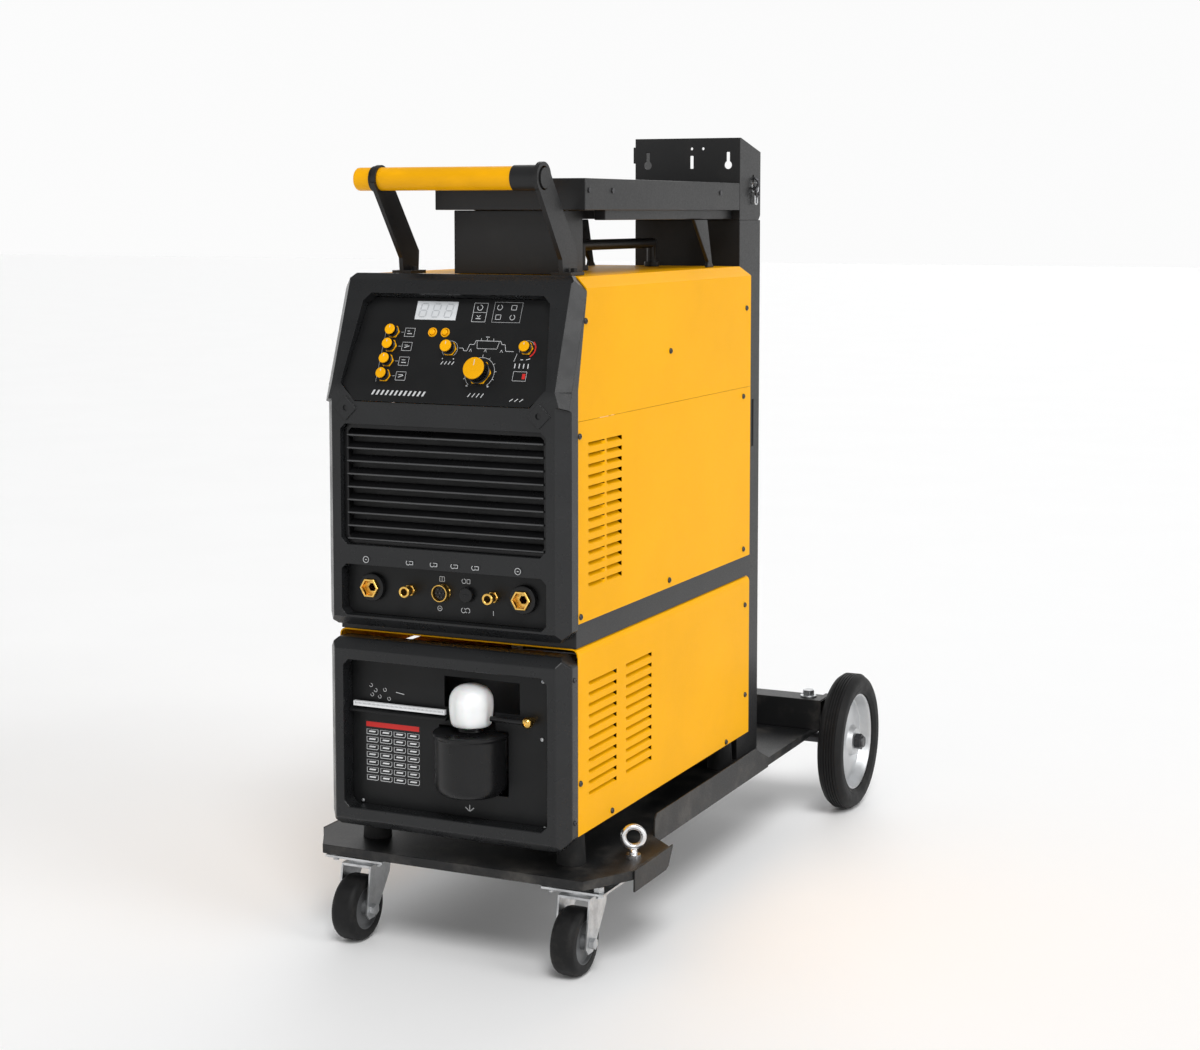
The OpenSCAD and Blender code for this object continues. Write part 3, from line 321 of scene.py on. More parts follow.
class WelderColours(bpy.types.PropertyGroup):
    """Colours of the set's finishes."""

    yellow: bpy.props.FloatVectorProperty(
        name="Case yellow", description="Painted covers, grip and knob caps",
        default=(0.86, 0.405, 0.0006), subtype="COLOR", min=0, max=1)
    black: bpy.props.FloatVectorProperty(
        name="Trolley black", description="Powder coat of the trolley, shelf and column",
        default=(0.009, 0.0092, 0.0097), subtype="COLOR", min=0, max=1)
    frame: bpy.props.FloatVectorProperty(
        name="Front frame grey", description="Moulded frames round both fronts",
        default=(0.0105, 0.011, 0.0118), subtype="COLOR", min=0, max=1)
    panel: bpy.props.FloatVectorProperty(
        name="Panel grey", description="Film on the control and cooler panels",
        default=(0.0065, 0.0068, 0.0072), subtype="COLOR", min=0, max=1)
    brass: bpy.props.FloatVectorProperty(
        name="Brass", description="Sockets, hose tails and the ball fitting",
        default=(0.9, 0.56, 0.14), subtype="COLOR", min=0, max=1)
    floor: bpy.props.FloatVectorProperty(
        name="Floor", description="The pale floor round the set",
        default=(0.94, 0.94, 0.94), subtype="COLOR", min=0, max=1)


def joint_at(name):
    return JOINTS[name]["pos_m"]


MADE = {}


def finish(name):
    """The material of that name, made the first time it is asked for."""
    if name not in MADE:
        MADE[name] = FINISHES[name](name, bpy.context.scene.welder_colours)
    return MADE[name]


FINISHES = {
    "yellow_paint": lambda name, c: powder_coat(name, c.yellow, 0.4, 0.03, 0.02, 0.05),
    "powder_black": lambda name, c: powder_coat(name, c.black, 0.42, 0.08, 0.08),
    "deck_black": lambda name, c: powder_coat(name, shade(c.black, 0.85), 0.46, 0.25, 0.08),
    "frame_plastic": lambda name, c: moulded(name, c.frame, 0.27, specular_ior_level=0.34),
    "panel_film": lambda name, c: moulded(name, c.panel, 0.4, 2600.0, 0.05, specular_ior_level=0.24),
    "black_plastic": lambda name, c: moulded(name, (0.006, 0.006, 0.0065), 0.3, 1900.0, 0.08,
                                             specular_ior_level=0.3),
    "knob_yellow": lambda name, c: moulded(name, shade(c.yellow, 0.98), 0.36, 1900.0, 0.06,
                                           specular_ior_level=0.15),
    "white_plastic": lambda name, c: moulded(name, (0.83, 0.84, 0.84), 0.42, 1300.0, 0.06,
                                             subsurface_weight=0.12, subsurface_scale=0.01),
    "display": lambda name, c: moulded(name, (0.66, 0.68, 0.7), 0.22, 2600.0, 0.02),
    "digit": lambda name, c: printed(name, (0.47, 0.49, 0.51), 0.3),
    "ink": lambda name, c: printed(name, (0.62, 0.63, 0.64)),
    "ink_red": lambda name, c: printed(name, (0.62, 0.012, 0.008)),
    "scale_white": lambda name, c: moulded(name, (0.7, 0.71, 0.72), 0.35, 2600.0, 0.04),
    "zinc": lambda name, c: zinc_plate(name, (0.62, 0.63, 0.64)),
    "eye_silver": lambda name, c: zinc_plate(name, (0.82, 0.82, 0.83), 0.2),
    "dark_steel": lambda name, c: zinc_plate(name, (0.09, 0.09, 0.095), 0.3),
    "brass": lambda name, c: yellow_metal(name, c.brass),
    "rim_left": lambda name, c: turned_metal(name, (0.58, 0.59, 0.6), joint_at("rear_left_roll")),
    "rim_right": lambda name, c: turned_metal(name, (0.58, 0.59, 0.6), joint_at("rear_right_roll")),
    "tyre_rubber": lambda name, c: rubber(name, (0.007, 0.007, 0.0073), 0.12),
    "castor_rubber": lambda name, c: rubber(name, (0.007, 0.007, 0.0073), 0.15),
    "castor_hub": lambda name, c: moulded(name, (0.1, 0.103, 0.106), 0.42),
    "foot_rubber": lambda name, c: rubber(name, (0.012, 0.012, 0.012), 0.15),
    "tank_plastic": lambda name, c: moulded(name, (0.03, 0.032, 0.034), 0.4),
    "cooler_aluminium": lambda name, c: zinc_plate(name, (0.6, 0.61, 0.62), 0.34),
    "pump_paint": lambda name, c: powder_coat(name, (0.06, 0.07, 0.08), 0.4),
    "board": lambda name, c: moulded(name, (0.02, 0.14, 0.05), 0.4),
    "winding": lambda name, c: moulded(name, (0.22, 0.075, 0.02), 0.3),
    # Painted highlight: the slat lips are a lighter copy of the black slat plastic, standing in for the
    # bright lines a top light leaves on the slats' front edges; their gloss is real.
    "slat_edge": lambda name, c: moulded(name, (0.05, 0.051, 0.053), 0.2, specular_ior_level=0.6),
    "switch_red": lambda name, c: moulded(name, (0.52, 0.015, 0.01), 0.32),
    # Painted shade: a plain dark sheet behind the air grille's slats, for the shaded inside of the case
    # seen between them.
    "dark_inside": lambda name, c: moulded(name, (0.006, 0.006, 0.006), 0.7),
}


# ---------------------------------------------------------------- meshes


class Solid:
    """Closed solids gathered in one mesh, in millimetres on the drawing."""

    def __init__(self, *finishes):
        self.mesh = bmesh.new()
        self.finishes = finishes
        self.place = Matrix.Identity(4)
        self.coat = 0

    def at(self, place, coat=None):
        self.place = place
        if coat is not None:
            self.coat = self.finishes.index(coat)
        return self

    def add(self, points, faces, soft=0.0):
        """Points and faces on the current place, with its sharp edges rounded by soft."""
        part = bmesh.new()
        verts = [part.verts.new(self.place @ Vector(p)) for p in points]
        for face in faces:
            part.faces.new([verts[i] for i in face])
        bmesh.ops.recalc_face_normals(part, faces=part.faces)
        if soft:
            round_off(part, soft)
        for face in part.faces:
            face.material_index = self.coat
        held = bpy.data.meshes.new("part")
        part.to_mesh(held)
        part.free()
        self.mesh.from_mesh(held)
        bpy.data.meshes.remove(held)
        return self

    def prism(self, outline, z0, z1, soft=0.0):
        n = len(outline)
        points = [(x, y, z) for z in (z0, z1) for x, y in outline]
        faces = [range(n - 1, -1, -1), range(n, 2 * n)]
        faces += [(i, (i + 1) % n, n + (i + 1) % n, n + i) for i in range(n)]
        return self.add(points, faces, soft)

    def block(self, x0, x1, y0, y1, z0, z1, soft=0.0):
        return self.prism([(x0, y0), (x1, y0), (x1, y1), (x0, y1)], z0, z1, soft)

    def loft(self, rings, closed=False):
        """A skin through rings of equal length; closed joins the last ring to the first."""
        n, m = len(rings[0]), len(rings)
        points = [p for ring in rings for p in ring]
        spans = range(m if closed else m - 1)
        faces = [
            (k * n + i, k * n + (i + 1) % n, (k + 1) % m * n + (i + 1) % n, (k + 1) % m * n + i)
            for k in spans for i in range(n)
        ]
        if not closed:
            faces += [range(n - 1, -1, -1), range((m - 1) * n, m * n)]
        return self.add(points, faces)

    def turned(self, profile, steps, wave=None):
        """A profile of (radius, height) turned about Z; one that starts and ends on the
        axis is closed there, any other is closed on itself. wave gives a radius's scale
        from its angle, radius and height."""
        rings, points, faces = [], [], []
        for r, h in profile:
            if r < 1e-6:
                rings.append([len(points)] * steps)
                points.append((0, 0, h))
                continue
            rings.append(range(len(points), len(points) + steps))
            for i in range(steps):
                a = 2 * math.pi * i / steps
                reach = r * (wave(a, r, h) if wave else 1.0)
                points.append((reach * math.cos(a), reach * math.sin(a), h))
        loop = profile[0][0] > 1e-6
        for k in range(len(rings) if loop else len(rings) - 1):
            one, two = rings[k], rings[(k + 1) % len(rings)]
            for i in range(steps):
                j = (i + 1) % steps
                face = list(dict.fromkeys((one[i], one[j], two[j], two[i])))
                if len(face) > 2:
                    faces.append(face)
        return self.add(points, faces)

    def tube(self, path, radius, sides, closed=False):
        """A round bar along a path, with flat ends unless closed."""
        path = [Vector(p) for p in path]
        count, rings, side = len(path), [], None
        for i, p in enumerate(path):
            a = path[i - 1] if closed or i else p
            b = path[(i + 1) % count] if closed or i < count - 1 else p
            ahead = (b - a).normalized()
            if side is None:
                side = ahead.orthogonal().normalized()
            side = (side - ahead * side.dot(ahead)).normalized()
            other = ahead.cross(side)
            turns = [2 * math.pi * k / sides for k in range(sides)]
            rings.append([p + (side * math.cos(t) + other * math.sin(t)) * radius for t in turns])
        return self.loft(rings, closed)

    def object(self, name):
        """The gathered mesh as an object in the row frame, in metres."""
        self.mesh.transform(TO_ROW)
        made = bpy.data.meshes.new(name)
        self.mesh.to_mesh(made)
        self.mesh.free()
        for coat in self.finishes:
            made.materials.append(finish(coat))
        obj = bpy.data.objects.new(name, made)
        bpy.context.scene.collection.objects.link(obj)
        return obj

    def done(self, name, body, slot, *replaced, smooth=34.0):
        return settle(self.object(name), body, slot, *replaced, smooth=smooth)


SHARP_EDGE = math.radians(30)


def round_off(mesh, width, segments=2, shortest=0.0):
    """Rounds the sharp edges of a bmesh, as a press, a mould or a file leaves them."""
    edges = [
        e for e in mesh.edges
        if len(e.link_faces) == 2 and e.calc_face_angle(0) > SHARP_EDGE and e.calc_length() > shortest
    ]
    bmesh.ops.bevel(
        mesh, geom=edges, offset=width, offset_type="OFFSET", segments=segments,
        profile=0.5, affect="EDGES", clamp_overlap=True, miter_outer="SHARP")


def settle(obj, body, slot, *replaced, smooth=34.0):
    """Smooths a finished piece, hangs it on its body and hides the CAD nodes it stands for."""
    mesh = obj.data
    for polygon in mesh.polygons:
        polygon.use_smooth = True
    mesh.set_sharp_from_angle(angle=math.radians(smooth))
    even = obj.modifiers.new("even", "WEIGHTED_NORMAL")
    even.keep_sharp = True
    obj.data = evaluated(obj)
    bpy.data.meshes.remove(mesh)
    obj.modifiers.clear()
    obj.data.name = obj.name
    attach(obj, body)
    if replaced:
        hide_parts(*replaced)
    return obj


def evaluated(obj):
    """The object's mesh with its modifiers worked in."""
    bpy.context.view_layer.update()
    graph = bpy.context.evaluated_depsgraph_get()
    return bpy.data.meshes.new_from_object(obj.evaluated_get(graph), depsgraph=graph)


def merged(node):
    """A CAD node's surface with its doubles merged and its flat faces made whole."""
    mesh = bmesh.new()
    mesh.from_mesh(frame["nodes"][node].data)
    bmesh.ops.remove_doubles(mesh, verts=mesh.verts, dist=2e-6)
    bmesh.ops.dissolve_limit(
        mesh, angle_limit=math.radians(0.5), verts=mesh.verts, edges=mesh.edges)
    return mesh


SHORTEST_EDGE = 1.5
AREA_CHANGE = 0.2


def softened(node, coat, width, segments=2, body="trolley", slot=None, above=None):
    """A CAD node's own shape with its edges rounded, standing for that node; above gives
    a height in metres and the finish from there up."""
    mesh = merged(node)
    before = sum(f.calc_area() for f in mesh.faces)
    round_off(mesh, width * MM, segments, SHORTEST_EDGE * MM)
    if abs(sum(f.calc_area() for f in mesh.faces) / before - 1) > AREA_CHANGE:
        raise RuntimeError(f"{node}: rounding by {width} mm changed its surface too much")
    made = bpy.data.meshes.new(node)
    mesh.to_mesh(made)
    mesh.free()
    made.materials.append(finish(coat))
    if above:
        made.materials.append(finish(above[1]))
        for polygon in made.polygons:
            polygon.material_index = int(polygon.center.z > above[0])
    obj = bpy.data.objects.new(f"{node}_finished", made)
    bpy.context.scene.collection.objects.link(obj)
    return settle(obj, body, slot or coat, node)


def coated(coat, *nodes):
    """CAD nodes that show as they are, in a finish of their own."""
    for node in nodes:
        mesh = frame["nodes"][node].data
        mesh.materials.clear()
        mesh.materials.append(finish(coat))


# ---------------------------------------------------------------- repeats


def node_tree(name, inputs):
    """An empty Geometry Nodes tree with named inputs and one geometry output."""
    tree = bpy.data.node_groups.new(name, "GeometryNodeTree")
    for label, kind, value in inputs:
        socket = tree.interface.new_socket(label, in_out="INPUT", socket_type=kind)
        if value is not None:
            socket.default_value = value
    tree.interface.new_socket("Geometry", in_out="OUTPUT", socket_type="NodeSocketGeometry")
    return tree


class Graph:
    """A Geometry Nodes tree that is being built."""

    def __init__(self, tree):
        self.tree = tree
        self.given = tree.nodes.new("NodeGroupInput")
        self.out = tree.nodes.new("NodeGroupOutput")

    def node(self, kind, settings=(), sockets=(), out=0):
        return new_node(self.tree, kind, settings, sockets).outputs[out]

    def ends(self, geometry):
        """Realizes the instances and sets the finish, as the last two steps."""
        real = self.node("GeometryNodeRealizeInstances", {}, {0: geometry})
        coated_out = self.node("GeometryNodeSetMaterial", {}, {0: real, 2: self.given.outputs["Finish"]})
        self.tree.links.new(coated_out, self.out.inputs[0])


def scatter_tree():
    """Puts the part on each point of the host mesh, turned by its own 'turn' value."""
    tree = node_tree("set_on_points", [
        ("Geometry", "NodeSocketGeometry", None), ("Part", "NodeSocketObject", None),
        ("Size", "NodeSocketFloat", 1.0), ("Finish", "NodeSocketMaterial", None)])
    graph = Graph(tree)
    turn = graph.node("GeometryNodeInputNamedAttribute", {"data_type": "FLOAT_VECTOR"}, {0: "turn"})
    part = graph.node("GeometryNodeObjectInfo", {}, {0: graph.given.outputs["Part"]}, out="Geometry")
    rotation = graph.node("FunctionNodeEulerToRotation", {}, {0: turn})
    placed = graph.node("GeometryNodeInstanceOnPoints", {}, {
        "Points": graph.given.outputs["Geometry"], "Instance": part, "Rotation": rotation,
        "Scale": graph.given.outputs["Size"]})
    graph.ends(placed)
    return tree


def grid_tree():
    """Repeats the part in rows and columns along two steps."""
    tree = node_tree("rows_and_columns", [
        ("Part", "NodeSocketObject", None), ("Rows", "NodeSocketInt", 1),
        ("Row step", "NodeSocketVector", (0, 0, 0)), ("Columns", "NodeSocketInt", 1),
        ("Column step", "NodeSocketVector", (0, 0, 0)), ("Finish", "NodeSocketMaterial", None)])
    graph = Graph(tree)
    given = graph.given.outputs
    part = graph.node("GeometryNodeObjectInfo", {}, {0: given["Part"]}, out="Geometry")
    for count, step in (("Rows", "Row step"), ("Columns", "Column step")):
        line = graph.node("GeometryNodeMeshLine", {"mode": "OFFSET"},
                          {"Count": given[count], "Offset": given[step]})
        part = graph.node("GeometryNodeInstanceOnPoints", {}, {"Points": line, "Instance": part})
    graph.ends(part)
    return tree


TREES = {}


def repeated(name, make_tree, part, slot, coat, places=(), frame_at=None, smooth=34.0, **inputs):
    """Repeats a part of the trolley's body by a Geometry Nodes tree, and keeps the result
    as a plain mesh. inputs are the tree's own, with _ for a space."""
    if make_tree not in TREES:
        TREES[make_tree] = make_tree()
    tree = TREES[make_tree]
    host_mesh = bpy.data.meshes.new(name)
    host_mesh.from_pydata([place.to_translation() for place in places], [], [])
    turn = host_mesh.attributes.new("turn", "FLOAT_VECTOR", "POINT")
    for i, place in enumerate(places):
        turn.data[i].vector = place.to_euler()
    host = bpy.data.objects.new(name, host_mesh)
    bpy.context.scene.collection.objects.link(host)
    maker = host.modifiers.new("repeat", "NODES")
    maker.node_group = tree
    values = {key.replace("_", " ").capitalize(): value for key, value in inputs.items()}
    values |= {"Part": part, "Finish": finish(coat)}
    for item in tree.interface.items_tree:
        if item.item_type == "SOCKET" and item.in_out == "INPUT" and item.name in values:
            maker[item.identifier] = values[item.name]
    made = evaluated(host)
    host.modifiers.clear()
    host.data = made
    bpy.data.meshes.remove(host_mesh)
    bpy.data.objects.remove(part)
    made.transform(TO_ROW @ (frame_at or Matrix.Identity(4)))
    return settle(host, "trolley", slot, smooth=smooth)


def loose(solid):
    """A solid's mesh in millimetres about its own origin, for repeating."""
    made = bpy.data.meshes.new("part")
    solid.mesh.to_mesh(made)
    solid.mesh.free()
    obj = bpy.data.objects.new("part", made)
    bpy.context.scene.collection.objects.link(obj)
    return obj


# ---------------------------------------------------------------- sizes


class WelderSizes(bpy.types.PropertyGroup):
    """Sizes of the set's small features."""

    louvre_mouth: bpy.props.FloatProperty(
        name="Louvre mouth", description="Height of a louvre's opening, in millimetres", default=7.0, min=4,
        max=10)
    louvre_depth: bpy.props.FloatProperty(
        name="Louvre depth", description="How far a louvre is pressed inwards, in millimetres", default=6.8,
        min=3, max=9)
    cover_screw: bpy.props.FloatProperty(
        name="Cover screw", description="Diameter of a cover screw's head, in millimetres", default=9.0,
        min=6, max=12)
    slats: bpy.props.IntProperty(
        name="Grille slats", description="Number of slats in the air grille", default=9, min=6, max=12)
    knob_ribs: bpy.props.IntProperty(
        name="Knob ribs", description="Number of ribs round a small knob", default=18, min=8, max=32)
    dial_ribs: bpy.props.IntProperty(
        name="Dial ribs", description="Number of ribs round the current dial", default=28, min=12, max=48)
    edge: bpy.props.FloatProperty(
        name="Sheet edge", description="Rounding of folded sheet edges, in millimetres", default=1.2,
        min=0.3, max=3)


class WelderStage(bpy.types.PropertyGroup):
    """Camera and light."""

    focal: bpy.props.FloatProperty(
        name="Focal length", description="Of a 36 mm wide sensor", default=63.67, min=20, max=200,
        unit="CAMERA")
    camera: bpy.props.FloatVectorProperty(
        name="Camera", description="Where the camera stands", default=(1.4804, -3.2383, 1.1093),
        subtype="XYZ", unit="LENGTH")
    aim: bpy.props.FloatVectorProperty(
        name="Aim", description="Direction that the camera looks in", default=(-0.41763, 0.90417, -0.08983),
        subtype="DIRECTION")
    rise: bpy.props.FloatProperty(
        name="Vertical shift", description="Of the camera's lens", default=-0.102, min=-0.5, max=0.5)
    light: bpy.props.FloatProperty(
        name="Light", description="Strength of the studio light", default=1.0, min=0, max=5)


# ---------------------------------------------------------------- the two cases


def slotted_sheet(solid, side, y_ends, z_ends, mouths):
    """A flat side sheet with rectangular mouths (y0, y1, z0, z1) cut through it."""
    ys = sorted({*y_ends, *(m[i] for m in mouths for i in (0, 1))})
    zs = sorted({*z_ends, *(m[i] for m in mouths for i in (2, 3))})

    def solid_cell(i, j):
        if not (0 <= i < len(ys) - 1 and 0 <= j < len(zs) - 1):
            return False
        y, z = (ys[i] + ys[i + 1]) / 2, (zs[j] + zs[j + 1]) / 2
        return not any(m[0] < y < m[1] and m[2] < z < m[3] for m in mouths)

    xs = (side * HALF, side * (HALF - SIDE_SHEET))
    at = {}
    points, faces = [], []

    def point(layer, i, j):
        key = (layer, i, j)
        if key not in at:
            at[key] = len(points)
            points.append((xs[layer], ys[i], zs[j]))
        return at[key]

    for i in range(len(ys) - 1):
        for j in range(len(zs) - 1):
            if not solid_cell(i, j):
                continue
            corners = ((i, j), (i + 1, j), (i + 1, j + 1), (i, j + 1))
            for layer in (0, 1):
                faces.append([point(layer, *c) for c in corners])
            beyond = ((i, j - 1), (i + 1, j), (i, j + 1), (i - 1, j))
            for k, cell in enumerate(beyond):
                if not solid_cell(*cell):
                    a, b = corners[k], corners[(k + 1) % 4]
                    faces.append([point(0, *a), point(0, *b), point(1, *b), point(1, *a)])
    return solid.add(points, faces)


def louvre_flap(side, long, mouth, depth, formed_rear):
    """One flap about the middle of its mouth: flush below, pressed inwards above, with
    its front end drawn back to the sheet."""
    front, rear, shallow, thick = 11, 9, 0.35, 1.1
    along = [0, 3, 7, front] + ([long - rear, long - 4, long - 0.1] if formed_rear else [long - 2.4])
    rings = []
    for y in along:
        reach = min(1.0, y / front)
        if formed_rear:
            reach = min(reach, (long - y) / rear)
        reach = reach * reach * (3 - 2 * reach)
        deep = shallow + (depth - shallow) * reach
        face = [(0.05, -mouth / 2), (0.2 * deep, -0.36 * mouth), (0.62 * deep, -0.12 * mouth),
                (deep, 0.2 * mouth)]
        skin = face + [(x + thick, z) for x, z in reversed(face)]
        rings.append([(-side * x, y, z) for x, z in skin])
    return loose(Solid().loft(rings))


COOLER_FOLD = 12
CASE_SCREWS = {
    "welder": [(25, 954), (666, 946), (336, 893), (653, 797), (5, 791), (657, 535), (333, 533), (8, 531)],
    "cooler": [(666, 437), (669, 280), (581, 217), (117, 220), (7, 288)],
}


class WELDER_OT_side_sheets(bpy.types.Operator):
    """Painted side sheets of both cases, with their pressed louvres"""

    bl_idname = "welder.side_sheets"
    bl_label = "Side sheets and louvres"

    def execute(self, context):
        size = context.scene.welder_sizes
        cases = (
            ("welder_sides", WELDER_Z0, SIDE_TOP - SEAM_GAP, ((35, 92, True), (98, 153, False)),
             SIDE_TOP - 36, 14, 15.7),
            ("cooler_cover", COOLER_Z0, COOLER_Z1 - COOLER_FOLD, ((36, 135, False), (168, 266, False)),
             COOLER_Z1 - 57, 11, 16.3),
        )
        for node, z0, z1, columns, first, rows, pitch in cases:
            sheets = Solid("yellow_paint")
            for side in (-1, 1):
                heights = [first - i * pitch for i in range(rows)]
                half = size.louvre_mouth / 2
                mouths = [(y0, y1, z - half, z + half) for y0, y1, _ in columns for z in heights]
                slotted_sheet(sheets, side, (SEAM_GAP, LENGTH), (z0, z1), mouths)
                for number, (y0, y1, formed) in enumerate(columns):
                    flap = louvre_flap(side, y1 - y0, size.louvre_mouth, size.louvre_depth, formed)
                    repeated(
                        f"{node}_louvres_{'left' if side < 0 else 'right'}_{number}", grid_tree, flap,
                        "yellow_paint", "yellow_paint", rows=rows, row_step=(0, 0, -pitch),
                        frame_at=Matrix.Translation((side * HALF, y0, first)), smooth=50)
            if node == "cooler_cover":
                cooler_top(sheets)
            sheets.done(f"{node}_sheets", "trolley", "yellow_paint", node)
        return {"FINISHED"}


def cooler_top(solid):
    """The folded top of the cooler's cover, with its two rounded shoulders."""
    outer, inner = [], []
    bend, low_z = 10.0, COOLER_Z1 - COOLER_FOLD
    for side in (1, -1):
        for k in range(7)[::side]:
            a = math.radians(15 * k)
            for ring, radius in ((outer, bend), (inner, bend - COVER_SHEET)):
                ring.append((side * (HALF - bend + radius * math.cos(a)),
                             COOLER_Z1 - bend + radius * math.sin(a)))
    outer = [(HALF, low_z), *outer, (-HALF, low_z)]
    inner = [(HALF - COVER_SHEET, low_z), *inner, (-HALF + COVER_SHEET, low_z)]
    outline = outer + inner[::-1]
    points = [(x, y, z) for y in (SEAM_GAP, LENGTH) for x, z in outline]
    n, m = len(outer), len(outline)
    faces = [(i, (i + 1) % m, m + (i + 1) % m, m + i) for i in range(m)]
    for base in (0, m):
        faces += [(base + i, base + i + 1, base + m - 2 - i, base + m - 1 - i) for i in range(n - 1)]
    solid.at(Matrix.Identity(4)).add(points, faces)


class WELDER_OT_covers(bpy.types.Operator):
    """Folded top cover of the welder and the spacer between the cases"""

    bl_idname = "welder.covers"
    bl_label = "Top cover and spacer"

    def execute(self, context):
        edge = context.scene.welder_sizes.edge
        softened("welder_cover", "yellow_paint", edge, 3)
        softened("spacer_plinth", "powder_black", edge)
        coated("powder_black", "welder_base", "cooler_base")
        return {"FINISHED"}


class WELDER_OT_front_frames(bpy.types.Operator):
    """Moulded frames round both fronts"""

    bl_idname = "welder.front_frames"
    bl_label = "Front frames"

    def execute(self, context):
        softened("welder_bezel", "frame_plastic", 2.0, 3)
        softened("cooler_bezel", "frame_plastic", 2.2, 3)
        return {"FINISHED"}


def screws(name, size, slot, coat, places):
    """Pan heads with a round recess, each on its own place."""
    r = size / 2
    head = Solid().turned([(0, 0), (r, 0), (r, r * 0.22), (r * 0.9, r * 0.5), (r * 0.62, r * 0.68),
                           (r * 0.4, r * 0.7), (r * 0.36, r * 0.25), (0, r * 0.22)], 12)
    repeated(name, scatter_tree, loose(head), slot, coat, places, size=1.0)


class WELDER_OT_screws(bpy.types.Operator):
    """Pan-head screws of the covers, frames and panels"""

    bl_idname = "welder.screws"
    bl_label = "Screws"

    def execute(self, context):
        size = context.scene.welder_sizes.cover_screw
        lift = 0.05
        covers = [
            at_side(side, y, z, side * (HALF + lift))
            for side in (-1, 1) for group in CASE_SCREWS.values() for y, z in group
        ]
        screws("cover_screws", size, "powder_black", "dark_steel", covers)
        frames = [at_side(side, -13, z, side * (HALF + 1 + lift)) for side in (-1, 1) for z in (443, 235)]
        screws("frame_screws", size * 0.8, "powder_black", "dark_steel", frames)
        lug_y, lug_z = low("welder_bezel").y - DRAWING_Y + 6, high("front_grille").z + 23.3
        lugs = [at_front(side * (HALF - 40.5), lug_y, lug_z) for side in (-1, 1)]
        screws("lug_screws", 8.4, "zinc", "zinc", lugs)
        fronts = ((150, 437), (148, 352), (152, 222), (-152, 228))
        panels = [at_front(x, COOLER_PANEL_Y + 0.25, z) for x, z in fronts]
        panels += [at_rear(x, REAR_Y + lift, z) for x in (-180, 180) for z in (262, 440, 600, 780, 960)]
        screws("panel_screws", size * 0.65, "zinc", "zinc", panels)
        return {"FINISHED"}


# ---------------------------------------------------------------- control panel


class Marks(Solid):
    """Printed marks: thin films on a flat face, drawn across and up that face."""

    FILM = 0.12

    def __init__(self, coat, face):
        super().__init__(coat)
        self.face = face

    def bar(self, a, b, wide):
        """A straight stroke from a to b."""
        (x0, y0), (x1, y1) = a, b
        long = math.hypot(x1 - x0, y1 - y0)
        nx, ny = -(y1 - y0) / long * wide / 2, (x1 - x0) / long * wide / 2
        self.at(self.face).prism(
            [(x0 - nx, y0 - ny), (x1 - nx, y1 - ny), (x1 + nx, y1 + ny), (x0 + nx, y0 + ny)], 0.02,
            self.FILM)
        return self

    def line(self, points, wide, closed=False):
        pairs = list(zip(points, points[1:])) + ([(points[-1], points[0])] if closed else [])
        for a, b in pairs:
            self.bar(a, b, wide)
        return self

    def outline(self, x0, x1, y0, y1, wide):
        return self.line([(x0, y0), (x1, y0), (x1, y1), (x0, y1)], wide, True)

    def arc(self, x, y, radius, start, end, wide, steps=24):
        turns = [math.radians(start + (end - start) * i / steps) for i in range(steps + 1)]
        return self.line([(x + radius * math.sin(t), y + radius * math.cos(t)) for t in turns], wide)

    def dot(self, x, y, radius):
        ring = [(x + radius * math.cos(k * math.pi / 6),
                 y + radius * math.sin(k * math.pi / 6)) for k in range(12)]
        self.at(self.face).prism(ring, 0.02, self.FILM)
        return self


SMALL_KNOBS = {"knob_1": (-100, 84), "knob_2": (-100, 62), "knob_3": (-100, 39), "knob_4": (-100, 16)}
DIAL = (55, 25)
SLOPE = (-1, 60)
BALANCE = (123, 64)
BUTTONS = {"button_left": (-35, 85), "button_right": (-14, 85)}
DISPLAY = (-36, 119)


